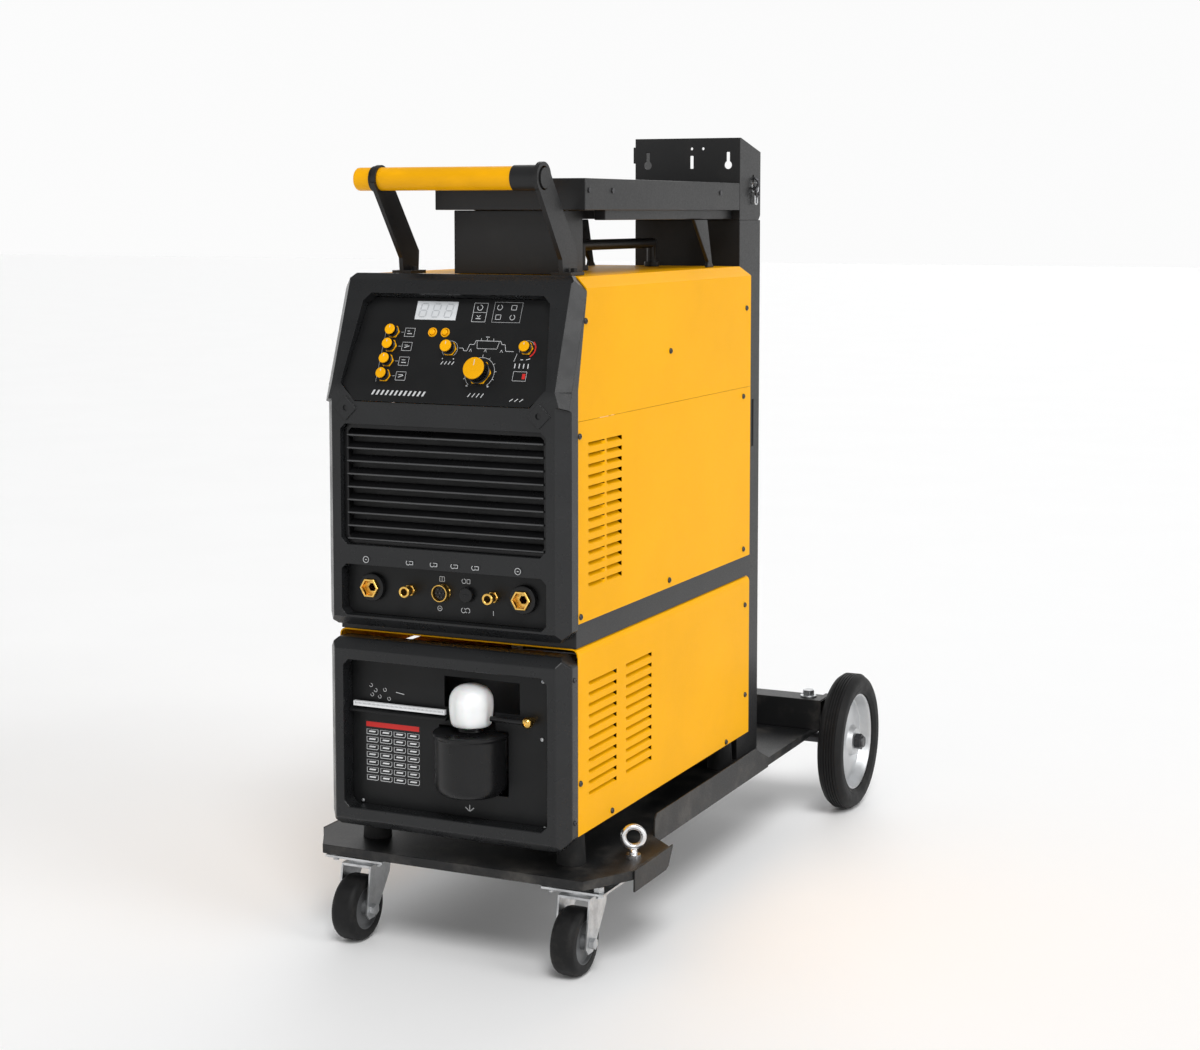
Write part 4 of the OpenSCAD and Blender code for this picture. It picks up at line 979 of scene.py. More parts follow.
def panel_marks():
    """Plain generic marks of the control panel: boxes, a pulse trace and dial ticks."""
    ink = Marks("ink", on_panel(0, 0))
    for k, (x, s) in enumerate(SMALL_KNOBS.values()):
        ink.bar((x + 13, s), (x + 17, s), 0.5)
        ink.outline(x + 19, x + 35, s - 6.5, s + 6.5, 0.5)
        ink.bar((x + 23, s - 2), (x + 31, s - 2 + (k % 2) * 3), 1.1)
        ink.bar((x + 23, s + 2), (x + 27 + k, s + 2), 0.9)
    ink.line([(-113, 95), (-113, 6)], 0.4)
    ink.outline(25, 47, 103, 132, 0.6)
    ink.bar((25, 117.5), (47, 117.5), 0.5)
    ink.arc(35, 125, 4.2, 0, 300, 0.9, 10).bar((31, 108), (39, 108), 1.2)
    ink.line([(32, 113), (35, 110), (38, 113)], 0.8)
    ink.outline(58, 103, 103, 134, 0.35)
    for x in (67, 90):
        for s in (111, 126):
            if (x + s) % 2:
                ink.arc(x, s, 4, 20, 330, 0.8, 10)
            else:
                ink.outline(x - 4, x + 4, s - 3.5, s + 3.5, 0.7)
    x, s = SLOPE
    ink.arc(x, s, 12.5, -140, 140, 0.5).dot(x - 9, s - 15, 1).dot(x + 9, s - 15, 1)
    for i in range(4):
        ink.bar((x - 10 + i * 6, s - 24), (x - 7 + i * 6, s - 19), 1.2)
    ink.line([(x + 15, s + 2), (x + 21, s + 2), (x + 23, s - 2), (x + 28, s - 2), (x + 31, s + 8),
              (x + 38, s + 8), (x + 40, s + 14), (x + 80, s + 14), (x + 83, s + 9), (x + 88, s + 9),
              (x + 91, s - 1), (x + 104, s - 1)], 0.7)
    ink.line([(x + 42, s + 13), (x + 44, s + 2), (x + 76, s + 2), (x + 78, s + 13)], 0.6)
    for dx in (34, 58, 84):
        ink.line([(x + dx - 2, s - 3), (x + dx, s + 1), (x + dx + 2, s - 3)], 0.6)
    for dx in (48, 58, 68):
        ink.bar((x + dx, s + 14), (x + dx, s + 18), 0.6)
    ink.bar((x + 55, s + 20), (x + 61, s + 20), 0.8)
    x, s = DIAL
    ink.arc(x, s, 23.5, -140, 140, 0.6, 40).dot(x - 17, s - 20, 1.3).dot(x + 17, s - 20, 1.3)
    for k in range(11):
        a = math.radians(28 * k - 140)
        reach = 28 if k % 5 == 0 else 26.5
        ink.bar((x + 23.5 * math.sin(a), s + 23.5 * math.cos(a)),
                (x + reach * math.sin(a), s + reach * math.cos(a)), 0.7)
    for i in range(4):
        ink.bar((x - 12 + i * 7, s - 37), (x - 8 + i * 7, s - 31), 1.2)
    x, s = BALANCE
    ink.arc(x, s, 12, -120, 60, 0.5, 16)
    ink.bar((x - 7, s - 17), (x - 3, s - 17), 1.2).bar((x + 2, s - 17), (x + 8, s - 15), 1.2)
    ink.line([(x - 14, s - 8), (x - 17, s - 20)], 0.7)
    for i in range(4):
        ink.bar((x - 14 + i * 7, s - 30), (x - 14 + i * 7, s - 23), 1.6)
    ink.outline(x - 14, x + 7, s - 49, s - 35, 0.5)
    for i in range(3):
        ink.bar((x - 12 + i * 8, s - 80), (x - 7 + i * 8, s - 76), 1.1)
    ink.done("panel_ink", "trolley", "display_glass")
    red = Marks("ink_red", on_panel(0, 0))
    x, s = BALANCE
    red.arc(x, s, 13.5, 40, 150, 2.2, 16).bar((x + 3, s - 46), (x + 3, s - 38), 5)
    red.done("panel_red_marks", "trolley", "switch_red")
    stroke = loose(Solid().prism([(0, 0), (3.2, 0), (6.4, 7.5), (3.2, 7.5)], 0.02, Marks.FILM))
    repeated("panel_stripes", grid_tree, stroke, "display_glass", "ink", rows=12, row_step=(7.6, 0, 0),
             frame_at=on_panel(-116, -14))


def digit_bars(solid, x, y, tall):
    """Seven slanted bars of one digit, with pointed ends."""
    half, wide, lean = tall / 2, tall * 0.09, 0.12

    def bar(x0, y0, x1, y1):
        dx, dy = x1 - x0, y1 - y0
        long = math.hypot(dx, dy)
        ux, uy = dx / long, dy / long
        pts = []
        tips = ((0.6, 0), (1.6, 1), (long - 1.6, 1), (long - 0.6, 0), (long - 1.6, -1), (1.6, -1))
        for along, out in tips:
            px = x0 + ux * along - uy * out * wide / 2
            py = y0 + uy * along + ux * out * wide / 2
            pts.append((px + (py - y) * lean, py))
        solid.prism(pts, 0, 0.15)

    w = tall * 0.27
    for dy in (half, 0, -half):
        bar(x - w, y + dy, x + w, y + dy)
    for dx in (-w, w):
        bar(x + dx, y, x + dx, y + half)
        bar(x + dx, y - half, x + dx, y)


class WELDER_OT_control_panel(bpy.types.Operator):
    """Control panel with its display window, buttons and printed marks"""

    bl_idname = "welder.control_panel"
    bl_label = "Control panel"

    def execute(self, context):
        softened("control_panel", "panel_film", 0.4, 2)
        x, s = DISPLAY
        window = Solid("display", "digit", "black_plastic")
        window.at(on_panel(x, s), "display").block(-34, 34, -14.5, 14.5, -2.9, 0.3, 0.5)
        window.at(on_panel(x, s, 0.31), "digit")
        for k in (-1, 0, 1):
            digit_bars(window, k * 21, 0, 20.5)
        window.done("display_face", "trolley", "display_glass", "display_window")
        for name, (x, s) in BUTTONS.items():
            button = Solid("knob_yellow")
            button.at(on_panel(x, s)).turned(
                [(0, -7), (6.4, -7), (6.4, -5.6), (4.5, -5.6), (4.5, 1.8), (4.1, 2.7), (3.0, 3.3),
                 (1.6, 3.1), (0, 3.0)], 32)
            button.done(f"{name}_cap", name, "knob_plastic", name)
            ring = Solid("knob_yellow")
            ring.at(on_panel(x, s)).turned([(5.2, 0.02), (7.2, 0.02), (7.0, 1.1), (6.3, 1.5), (5.6, 1.2),
                                            (5.2, 0.6)], 32)
            ring.done(f"{name}_collar", "trolley", "knob_plastic")
        panel_marks()
        return {"FINISHED"}


def ribbed(count, depth):
    """Scales a radius into rounded ribs."""
    return lambda a, r, h: 1 - depth * (0.5 - 0.5 * math.cos(count * a)) ** 2


def knob_set(name, place_xy, radius, tall, ribs, spindle=3.0):
    """A pushed-on knob: skirt, fluted black body, yellow cap with a pointer line, and nut."""
    x, s = place_xy
    body = Solid("black_plastic", "knob_yellow", "ink")
    body.at(on_panel(x, s), "black_plastic")
    skirt = radius + 0.9
    body.turned([(0, -8), (spindle, -8), (spindle, 2.6), (skirt - 1.2, 2.6), (skirt, 3.2), (skirt, 4.4),
                 (radius - 0.2, 5.0), (radius - 0.5, 5.4), (0, 5.4)], 48)
    steps = ribs * 6
    body.turned([(0, 5.3), (radius - 0.5, 5.3), (radius - 0.7, tall - 2.6), (radius - 1.1, tall - 2.3),
                 (0, tall - 2.3)],
                steps, ribbed(ribs, 0.09))
    body.at(on_panel(x, s), "knob_yellow").turned(
        [(0, tall - 2.4), (radius - 0.2, tall - 2.4), (radius, tall - 1.9), (radius - 0.2, tall - 0.6),
         (radius - 0.8, tall - 0.1), (radius - 1.8, tall), (0, tall - 0.25)], 48)
    body.at(on_panel(x, s, tall - 0.28), "ink").prism(
        [(-0.5, radius * 0.25), (0.5, radius * 0.25), (0.5, radius - 2.8), (-0.5, radius - 2.8)], 0, 0.25)
    body.done(f"{name}_finished", name, "knob_plastic", name)
    nut = Solid("knob_yellow")
    flats = radius + 2.2
    nut.at(on_panel(x, s)).turned([(spindle + 0.6, 0.03), (flats, 0.03), (flats, 1.4), (flats - 0.5, 1.9),
                                   (spindle + 0.6, 1.9)], 6)
    nut.done(f"{name}_nut", "trolley", "knob_plastic")


class WELDER_OT_knobs(bpy.types.Operator):
    """Small knobs, slope and balance knobs, and the current dial"""

    bl_idname = "welder.knobs"
    bl_label = "Knobs and dial"

    def execute(self, context):
        size = context.scene.welder_sizes
        for name, place in SMALL_KNOBS.items():
            knob_set(name, place, 8.0, 14.0, size.knob_ribs)
        knob_set("slope_knob", SLOPE, 9.0, 16.0, size.knob_ribs)
        knob_set("balance_knob", BALANCE, 8.0, 12.0, size.knob_ribs)
        knob_set("current_dial", DIAL, 16.5, 22.0, size.dial_ribs)
        return {"FINISHED"}


# ---------------------------------------------------------------- air grille and sockets


def cut_corners(half_w, z0, z1, top_cut, low_cut):
    """A rectangle with its four corners cut off, seen from the front."""
    return [(-half_w + low_cut, z0), (half_w - low_cut, z0), (half_w, z0 + low_cut), (half_w, z1 - top_cut),
            (half_w - top_cut, z1), (-half_w + top_cut, z1), (-half_w, z1 - top_cut),
            (-half_w, z0 + low_cut)]


def ring_of(solid, outer, inner, z0, z1, soft):
    """A flat frame between two outlines of as many corners."""
    n = len(outer)
    points = [(x, y, z) for z in (z0, z1) for ring in (outer, inner) for x, y in ring]
    faces = []
    for i in range(n):
        j = (i + 1) % n
        faces += [(i, j, n + j, n + i), (2 * n + i, 3 * n + i, 3 * n + j, 2 * n + j),
                  (i, 2 * n + i, 2 * n + j, j), (n + i, n + j, 3 * n + j, 3 * n + i)]
    return solid.add(points, faces, soft)


class WELDER_OT_air_grille(bpy.types.Operator):
    """Slatted air grille of the welder's front"""

    bl_idname = "welder.air_grille"
    bl_label = "Air grille"

    def execute(self, context):
        count = context.scene.welder_sizes.slats
        x1 = high("front_grille").x
        z0, z1 = low("front_grille").z, high("front_grille").z
        front = PLUG_Y - 10
        around = Solid("black_plastic", "dark_inside")
        ring_of(around.at(at_front(0, front, 0)), cut_corners(x1, z0, z1, 8, 10),
                cut_corners(x1 - 7.7, z0 + 6.7, z1 - 6.7, 5, 6), -13.6, 0, 1.0)
        # Painted shade: a closed dark sheet behind the slats stands for the case's shaded inside, which
        # shows dark between them.
        shade_sheet = cut_corners(x1 - 4, z0 + 4, z1 - 4, 6, 8)
        around.at(at_front(0, PLUG_Y + 3.7, 0), "dark_inside").prism(shade_sheet, -5.3, 0)
        around.done("air_grille_frame", "trolley", "black_plastic", "front_grille")
        pitch = (z1 - z0 - 5.6) / count
        slat = Solid()
        section = [(-14, 0.4), (-14.6, 1.4), (-14, 2.6), (-13, 3), (-2, 10.7), (-2, 7.9), (-12.6, 0.2)]
        slat.loft([[(x, PLUG_Y + 2 + y, z) for y, z in section] for x in (-x1 + 7, x1 - 7)])
        repeated("air_grille_slats", grid_tree, loose(slat), "black_plastic", "black_plastic",
                 rows=count, row_step=(0, 0, pitch), frame_at=Matrix.Translation((0, 0, z0 + 5.7)),
                 smooth=30)
        # Painted highlight: each slat's front lip is coloured lighter than the slats, in place of light
        # catching its edge; its rounded shape and gloss are real.
        lip = Solid().tube([(x, PLUG_Y - 11.9, 2.1) for x in (-x1 + 7.2, x1 - 7.2)], 1.35, 10)
        repeated("air_grille_lips", grid_tree, loose(lip), "frame_plastic", "slat_edge",
                 rows=count, row_step=(0, 0, pitch), frame_at=Matrix.Translation((0, 0, z0 + 5.7)),
                 smooth=50)
        return {"FINISHED"}


SOCKET_X = HALF - 73.5
TAILS = ((-9 - SOCKET_X) / 2 + 6, (SOCKET_X + 33) / 2 - 3)
FILLER_X, FILLER_Y = 36.0, -20.0
FILLER_Z = COOLER_Z0 + 143
BALL_X = FILLER_X + 96


def weld_sockets():
    """Weld sockets: a black ring round a six-sided brass insert."""
    rings = Solid("black_plastic", "brass")
    for side in (-1, 1):
        here = at_front(side * SOCKET_X, PLUG_Y, PLUG_Z)
        rings.at(here, "black_plastic").turned(
            [(11.2, -24), (15, -24), (15, 0), (21, 0), (21, 6.5), (20.4, 8.6), (18.6, 9.8), (13.4, 10),
             (12.6, 9.2), (12.4, 6), (11.2, 6)], 64)
        rings.at(here, "brass").turned(
            [(6.7, -29.9), (10.9, -29.9), (10.9, 9.9), (14.6, 10.2), (15.4, 11), (15.4, 15.2), (14.8, 15.9),
             (12.4, 15.9), (11.8, 15.2), (11.2, 5.5), (6.7, 5)], 6)
    rings.done("weld_sockets_finished", "trolley", "black_plastic", "weld_sockets", "socket_inserts")


def brass_fittings():
    """Gas and water tails, the rear gas inlet, and the cooler's ball fitting on its rod."""
    tails = Solid("brass", "black_plastic")
    for x in TAILS:
        here = at_front(x, PLUG_Y, PLUG_Z)
        tails.at(here, "brass")
        tails.turned([(5.1, 0.1), (9, 0.1), (9, 7.2), (8.2, 8), (5.1, 8)], 6)
        tails.turned([(0, -12), (5, -12), (5, 7.9), (7, 8.1), (7, 18.4), (7.6, 19), (8.3, 19.3), (8.5, 20),
                      (8.5, 23), (7.9, 23.8), (6, 24), (5.2, 23.4), (5, 22.6), (5, 10), (0, 10)], 40)
        # Painted shade: a black disc at the bottom of each tail's bore stands for the shade deep in the
        # hole.
        tails.at(here, "black_plastic").turned([(0, 10.05), (4.9, 10.05), (4.9, 12), (0, 12)], 24)
    inlet = at_rear(high("cable_gland").x + 26, REAR_Y, WELDER_Z0 + 60)
    tails.at(inlet, "brass").turned([(0, -16), (5, -16), (5, 9), (5, 12), (4.3, 15), (5, 15.2), (4.3, 19),
                                     (5, 19.2), (4.3, 23), (5, 23.2), (4.4, 26), (0, 26)], 32)
    tails.turned([(5.1, 0.2), (9.5, 0.2), (9.5, 7.4), (8.7, 8.2), (5.1, 8.2)], 6)
    ball_y, ball_z = COOLER_PANEL_Y - 14, FILLER_Z + 24
    ball = at_front(BALL_X, ball_y, ball_z)
    tails.at(ball, "brass").turned([(0, -20), (5, -20), (5, -6.8), (6.8, -5.2), (8.1, -2.7), (8.5, 0),
                                    (8.1, 2.7), (6.8, 5.2), (4.4, 7.3), (2.4, 7.9), (2.2, 6.9), (0, 6.9)],
                                    40)
    rod = facing(BALL_X - 4, ball_y, ball_z, BACK, UP)
    tails.at(rod, "black_plastic").turned([(0, 0), (4, 0), (4, -56), (0, -56)], 24)
    tails.done("brass_fittings_finished", "trolley", "brass", "brass_fittings")


def torch_socket():
    """Seven-pole torch socket with its pins, and the blank cap beside it."""
    torch_x = low("torch_connector").x + 13.5
    blank_x = high("torch_connector").x - 11
    torch = Solid("brass", "black_plastic", "dark_steel")
    here = at_front(torch_x, PLUG_Y, PLUG_Z)
    torch.at(here, "brass").turned(
        [(0, -14), (10, -14), (10, 0), (13.5, 0.1), (13.5, 1.6), (12.9, 2.4), (12.9, 10.6), (12.4, 11.6),
         (11.2, 11.8), (11, 11.2), (11, 3.4), (0, 3.4)], 48)
    torch.at(here, "black_plastic").turned([(0, 3.3), (10.6, 3.3), (10.6, 6.6), (9.9, 7.2), (0, 7.2)], 40)
    for k in range(7):
        a, r = math.radians(60 * k), 0 if k == 6 else 6.2
        pin = at_front(torch_x + r * math.cos(a), PLUG_Y - 7, PLUG_Z + r * math.sin(a))
        torch.at(pin, "dark_steel").turned([(0, 0), (1.1, 0), (1.1, 2.4), (0.6, 3), (0, 3)], 12)
    torch.at(at_front(blank_x, PLUG_Y, PLUG_Z), "black_plastic").turned(
        [(0, -12), (9, -12), (9, 0), (11, 0), (11, 6.5), (10.2, 8.4), (8.2, 9), (0, 8.2)], 48)
    torch.block(-5, 5, -1.2, 1.2, 7.6, 8.95, 0.5)
    torch.done("torch_socket", "trolley", "brass", "torch_connector")


def socket_marks():
    """Plain generic marks round the sockets and on the frame above them."""
    below = PLUG_Z - 24
    ink = Marks("ink", at_front(0, PLUG_Y, 0))
    ink.outline(-14, -6, PLUG_Z + 16, PLUG_Z + 23, 0.8).bar((-10, PLUG_Z + 16), (-10, PLUG_Z + 23), 0.8)
    ink.arc(26, PLUG_Z + 19, 3.4, 0, 330, 0.9, 10).outline(31, 36, PLUG_Z + 16, PLUG_Z + 22, 0.8)
    ink.arc(-14, below, 3.6, 0, 350, 0.9, 12).bar((-16, below), (-12, below), 0.9)
    ink.arc(25, below, 3.6, 20, 340, 0.9, 10).arc(32, below, 3.6, 200, 520, 0.9, 10)
    ink.bar((74, PLUG_Z - 28), (74, PLUG_Z - 21), 0.9)
    ink.done("socket_ink", "trolley", "display_glass")
    bar = Marks("ink", at_front(0, low("welder_bezel").y - DRAWING_Y, 0))
    z = high("connector_panel").z + 9
    for i, x in enumerate((-125, -52, -12, 22, 56, 125)):
        if i in (0, 5):
            bar.arc(x, z, 4.6, 0, 360, 0.8, 16).bar((x - 1.5, z), (x + 1.5, z), 0.9)
        else:
            bar.arc(x - 2, z, 3.2, 30, 330, 0.9, 10).outline(x + 1, x + 6, z - 2.4, z + 2.4, 0.8)
    bar.done("bar_ink", "trolley", "display_glass")


class WELDER_OT_sockets(bpy.types.Operator):
    """Weld sockets, gas and water tails and the torch socket"""

    bl_idname = "welder.sockets"
    bl_label = "Sockets and tails"

    def execute(self, context):
        softened("connector_panel", "panel_film", 0.4)
        weld_sockets()
        brass_fittings()
        torch_socket()
        socket_marks()
        return {"FINISHED"}


# ---------------------------------------------------------------- cooler front


def filler_pot():
    """Coolant pot: rounded base, rim, and a threaded neck."""
    z0 = low("filler_pot").z
    r, tall = 54.0, FILLER_Z - z0
    pot = Solid("black_plastic")
    outside = [(0, 0), (r - 16, 0), (r - 9.5, 1.6), (r - 4.4, 5.4), (r - 1.4, 11), (r, 18), (r, tall - 8),
               (r + 0.4, tall - 6.6), (r + 2.6, tall - 4.4), (r + 3, tall - 3.6), (r + 3, tall - 1),
               (r + 2, tall), (23, tall), (21, tall + 0.8)]
    for k in range(5):
        outside += [(19.2, tall + 1.6 + 3 * k), (20, tall + 2.5 + 3 * k), (20, tall + 3.2 + 3 * k)]
    outside += [(19.2, tall + 20), (18.6, tall + 22), (16, tall + 22), (16, tall - 8), (r - 5, tall - 9),
                (r - 5, 9), (r - 20, 4), (0, 4)]
    pot.at(Matrix.Translation((FILLER_X, FILLER_Y, z0))).turned(outside, 96)
    tab = facing(FILLER_X - 4, FILLER_Y - r + 0.7, FILLER_Z - 17, RIGHT, UP)
    pot.at(tab).block(-4.5, 4.5, -6, 6, -1, 1.1, 0.8)
    pot.done("filler_pot_finished", "trolley", "black_plastic", "filler_pot")


def filler_cap():
    """Domed screw cap with six soft lobes and a flat seat."""
    cap = Solid("white_plastic")
    r = 32.5

    def lobes(a, radius, h):
        grip = min(1.0, max(0.0, (h - 3) / 8)) * min(1.0, max(0.0, (56 - h) / 16))
        return 1 - 0.07 * grip * (0.5 + 0.5 * math.cos(6 * a)) ** 1.5 * (radius > 20.8)

    outside = [(0, 14.2), (20.6, 14.2), (20.6, 0), (r - 6.4, 0), (r - 5, 0.5), (r - 3, 3), (r - 1.8, 8),
               (r - 0.6, 18), (r, 28), (r - 0.1, 36), (r - 1.2, 43), (r - 4.2, 49.6), (r - 9, 54.8),
               (r - 15, 58.2), (r - 21.6, 60.2), (7, 61), (0, 61)]
    cap.at(Matrix.Translation((FILLER_X, FILLER_Y, FILLER_Z + 9.5))).turned(outside, 128, lobes)
    cap.done("filler_cap_finished", "filler_cap", "white_plastic", "filler_cap", smooth=50)


class WELDER_OT_filler(bpy.types.Operator):
    """Coolant filler pot with its lobed cap"""

    bl_idname = "welder.filler"
    bl_label = "Coolant filler"

    def execute(self, context):
        filler_pot()
        filler_cap()
        return {"FINISHED"}


def scale_strip():
    """White coolant scale across the panel, with its fine ticks."""
    strip = Solid("scale_white")
    slope = facing(-74, COOLER_PANEL_Y - 12.15, FILLER_Z + 24.6, RIGHT, UP)
    strip.at(slope).block(-86, 69, -3.6, 3.6, -5, 0.7, 0.3)
    strip.done("scale_strip", "trolley", "display_glass")
    tick = loose(Solid().block(-0.22, 0.22, -1.2, 1.6, 0.72, 0.84))
    repeated("scale_ticks", grid_tree, tick, "display_glass", "black_plastic", rows=68,
             row_step=(2.2, 0, 0), frame_at=slope @ Matrix.Translation((-82, 0.6, 0)))


def specification_label(face):
    """Dark plate with a red header and plain cells in place of the lettering."""
    print_y = face - 0.27
    rows = {"rows": 7, "row_step": (0, 11.6, 0), "columns": 4, "column_step": (23.4, 0, 0)}
    label = Marks("black_plastic", at_front(0, face, 0))
    label.at(label.face).block(-147, -52, 258, 351, 0.02, 0.25)
    label.done("label_plate", "trolley", "display_glass")
    head = Marks("ink_red", at_front(0, print_y, 0))
    head.at(head.face).block(-145.5, -55, 342, 349.5, 0, 0.1)
    head.done("label_header", "trolley", "switch_red")
    cell = Solid()
    ring_of(cell, [(0, 0), (18, 0), (20, 2), (20, 8), (0, 8), (0, 2)],
            [(0.7, 0.9), (17.6, 0.9), (19.3, 2.4), (19.3, 7.6), (0.7, 7.6), (0.7, 2.4)], 0, 0.1, 0)
    repeated("label_cells", grid_tree, loose(cell), "display_glass", "ink", **rows,
             frame_at=at_front(-145, print_y, 260.5))
    dash = loose(Solid().prism([(0, 0), (11, 0), (12.4, 2.2), (1.4, 2.2)], 0, 0.1))
    repeated("label_dashes", grid_tree, dash, "display_glass", "scale_white", **rows,
             frame_at=at_front(-141.5, print_y, 264))


def cooler_marks(face):
    """Plain generic marks: a fill arrow and a cluster of small arcs."""
    ink = Marks("ink", at_front(0, face, 0))
    ink.line([(22, 238), (29, 232), (36, 238)], 1.4).bar((29, 232), (29, 242), 1.4)
    spots = ((-137, 405), (-129, 398), (-135, 391), (-122, 389), (-113, 400), (-106, 387))
    for i, (x, z) in enumerate(spots):
        ink.arc(x, z, 2.6, 0, 250 + 15 * i, 0.8, 8)
    ink.bar((-94, 398), (-80, 396), 1.0)
    ink.done("cooler_ink", "trolley", "display_glass")


class WELDER_OT_cooler_front(bpy.types.Operator):
    """Cooler's front panel with its scale strip, label and marks"""

    bl_idname = "welder.cooler_front"
    bl_label = "Cooler front"

    def execute(self, context):
        face = COOLER_PANEL_Y + 0.25
        softened("cooler_front_panel", "panel_film", 0.5)
        scale_strip()
        specification_label(face)
        cooler_marks(face)
        return {"FINISHED"}


# ---------------------------------------------------------------- trolley


def mirrored(half, middle=()):
    """A wheel's profile from one half of it, as (radius, height)."""
    return [*half, *middle, *((r, -h) for r, h in reversed(half))]


def drawn(joint):
    """A joint's place on the drawing, in millimetres."""
    spot = Vector(joint_at(joint)) / MM
    return Vector((spot.x, spot.y - DRAWING_Y, spot.z))


class WELDER_OT_trolley(bpy.types.Operator):
    """Deck, skirts, rear beam, axle and the eye bolt"""

    bl_idname = "welder.trolley"
    bl_label = "Trolley"

    def execute(self, context):
        edge = context.scene.welder_sizes.edge
        softened("deck_plate", "deck_black", edge * 0.8)
        softened("side_skirts", "deck_black", edge * 0.6)
        softened("axle_beam", "deck_black", edge * 1.2)
        softened("rear_axle", "dark_steel", 0.8, slot="zinc")
        softened("castor_plates", "zinc", 0.6)
        softened("fasteners", "zinc", 0.5, above=(SHELF_Z * MM, "dark_steel"))
        softened("eye_bolt", "eye_silver", 0.5)
        softened("case_feet", "foot_rubber", 0.8)
        return {"FINISHED"}


class WELDER_OT_castors(bpy.types.Operator):
    """Front castors: pressed zinc forks and rubber wheels"""

    bl_idname = "welder.castors"
    bl_label = "Castors"

    def execute(self, context):
        wide = 19.0
        tread = mirrored([(32, 1.2 - wide), (34, -wide), (43, -wide), (46.4, 1.6 - wide), (48.8, 5 - wide),
                          (49.9, 9 - wide)], [(50, 0)])
        core = mirrored([(5.2, -wide - 3), (9.6, -wide - 3), (10, -wide - 2.4), (11.4, 6 - wide),
                         (28.6, 7 - wide), (30, 6 - wide), (31.6, 1 - wide), (32.2, 1 - wide)])
        for name in ("left", "right"):
            softened(f"castor_fork_{name}", "zinc", 0.7, body=f"castor_swivel_{name}")
            hub = facing(*drawn(f"castor_{name}_roll"), BACK, UP)
            wheel = Solid("castor_rubber", "castor_hub")
            wheel.at(hub, "castor_rubber").turned(tread + [(31.5, 9), (31.5, -9)], 72)
            wheel.at(hub, "castor_hub").turned(core, 72)
            wheel.done(f"castor_wheel_{name}_finished", f"castor_roller_{name}", "castor_rubber",
                       f"castor_wheel_{name}")
        return {"FINISHED"}


class WELDER_OT_rear_wheels(bpy.types.Operator):
    """Rear wheels: ribbed tyres on dished aluminium rims"""

    bl_idname = "welder.rear_wheels"
    bl_label = "Rear wheels"

    def execute(self, context):
        for name, side in (("left", -1), ("right", 1)):
            here = facing(*drawn(f"rear_{name}_roll"), side * BACK, UP)
            wall = [(88.8, -17), (90, -18.8), (97, -21.8), (98, -21.4), (99, -22.2), (106, -23),
                    (107.4, -22.6), (108.6, -23), (114, -22.6), (119, -19.4), (122.4, -14.6), (123.4, -13)]
            tread = []
            for k in range(-2, 3):
                tread += [(123.2, k * 5 - 1.8), (124.9, k * 5 - 1.3), (124.9, k * 5 + 1.3),
                          (123.2, k * 5 + 1.8)]
            tyre = Solid("tyre_rubber")
            tyre.at(here).turned(mirrored(wall, tread) + [(88.6, 0)], 96)
            tyre.done(f"rear_tyre_{name}_finished", f"rear_wheel_{name}", "tyre_rubber",
                      f"rear_tyre_{name}")
            rim = Solid(f"rim_{name}")
            rim.at(here).turned(
                [(10.4, -18), (22, -18), (23.6, -7), (40, -7), (60, -8), (75, -9), (79.6, -11), (82, -14),
                 (83.4, -15.8), (88.2, -15.8), (88.5, -14), (88.5, 15.2), (87.6, 16), (85.4, 16),
                 (84, 14.4), (82.6, 10), (80.4, 0), (79.2, -3.2), (77.4, -4.2), (60, -0.4), (40, 3.0),
                 (31, 4.4), (28, 6.4), (25.4, 12.4), (23.6, 14), (10.4, 14)], 96)
            rim.done(f"rear_rim_{name}_finished", f"rear_wheel_{name}", "rim_aluminium", f"rear_rim_{name}")
        return {"FINISHED"}


class WELDER_OT_column(bpy.types.Operator):
    """Cylinder column and bracket with its chain link, and the shelf"""

    bl_idname = "welder.column"
    bl_label = "Column and shelf"

    def execute(self, context):
        edge = context.scene.welder_sizes.edge
        folds = {"rear_column": edge, "cylinder_bracket": edge * 0.8, "tray_shelf": edge * 1.4,
                 "shelf_supports": edge}
        for node, wide in folds.items():
            softened(node, "powder_black", wide)
        link = [(9 * math.cos(t), 0, 5 * math.sin(t) + (9 if math.sin(t) > 0 else -9))
                for t in [2 * math.pi * k / 24 for k in range(24)]]
        chain = Solid("zinc")
        for k, (dx, dz, turn) in enumerate(((3, 0, 0), (5, -20, 90))):
            hung = Matrix.Translation((COLUMN_X + dx, COLUMN_Y + 64, COLUMN_TOP - 84 + dz))
            spun = Matrix.Rotation(math.radians(turn), 4, "Z")
            chain.at(hung @ spun @ Matrix.Scale(0.6, 4)).tube(link, 3.0, 10, True)
        chain.done("chain_links", "trolley", "zinc")
        return {"FINISHED"}


class WELDER_OT_handles(bpy.types.Operator):
    """Push handle with its arms, and the carry handle"""

    bl_idname = "welder.handles"
    bl_label = "Handles"

    def execute(self, context):
        softened("carry_handle", "powder_black", 0.8)
        softened("handle_arms", "powder_black", 1.2)
        x0, x1 = low("handle_grip").x, high("handle_grip").x
        sleeve = -128
        grip = Solid("knob_yellow", "black_plastic")
        here = facing(0, -6, (low("handle_grip").z + high("handle_grip").z) / 2, BACK, UP)
        grip.at(here, "knob_yellow").turned(
            [(0, x0), (13.2, x0), (15.4, x0 + 0.6), (16.6, x0 + 2), (17, x0 + 4), (17, x0 + 14),
             (17, x1 - 0.5), (0, x1 - 0.5)], 64)
        grip.at(here, "black_plastic").turned(
            [(17.02, sleeve), (18.4, sleeve + 0.4), (19, sleeve + 1.4), (19, sleeve + 5.4),
             (18.6, sleeve + 6.4), (17.02, sleeve + 6.4)], 64)
        grip.done("push_grip", "trolley", "yellow_paint", "handle_grip")
        return {"FINISHED"}


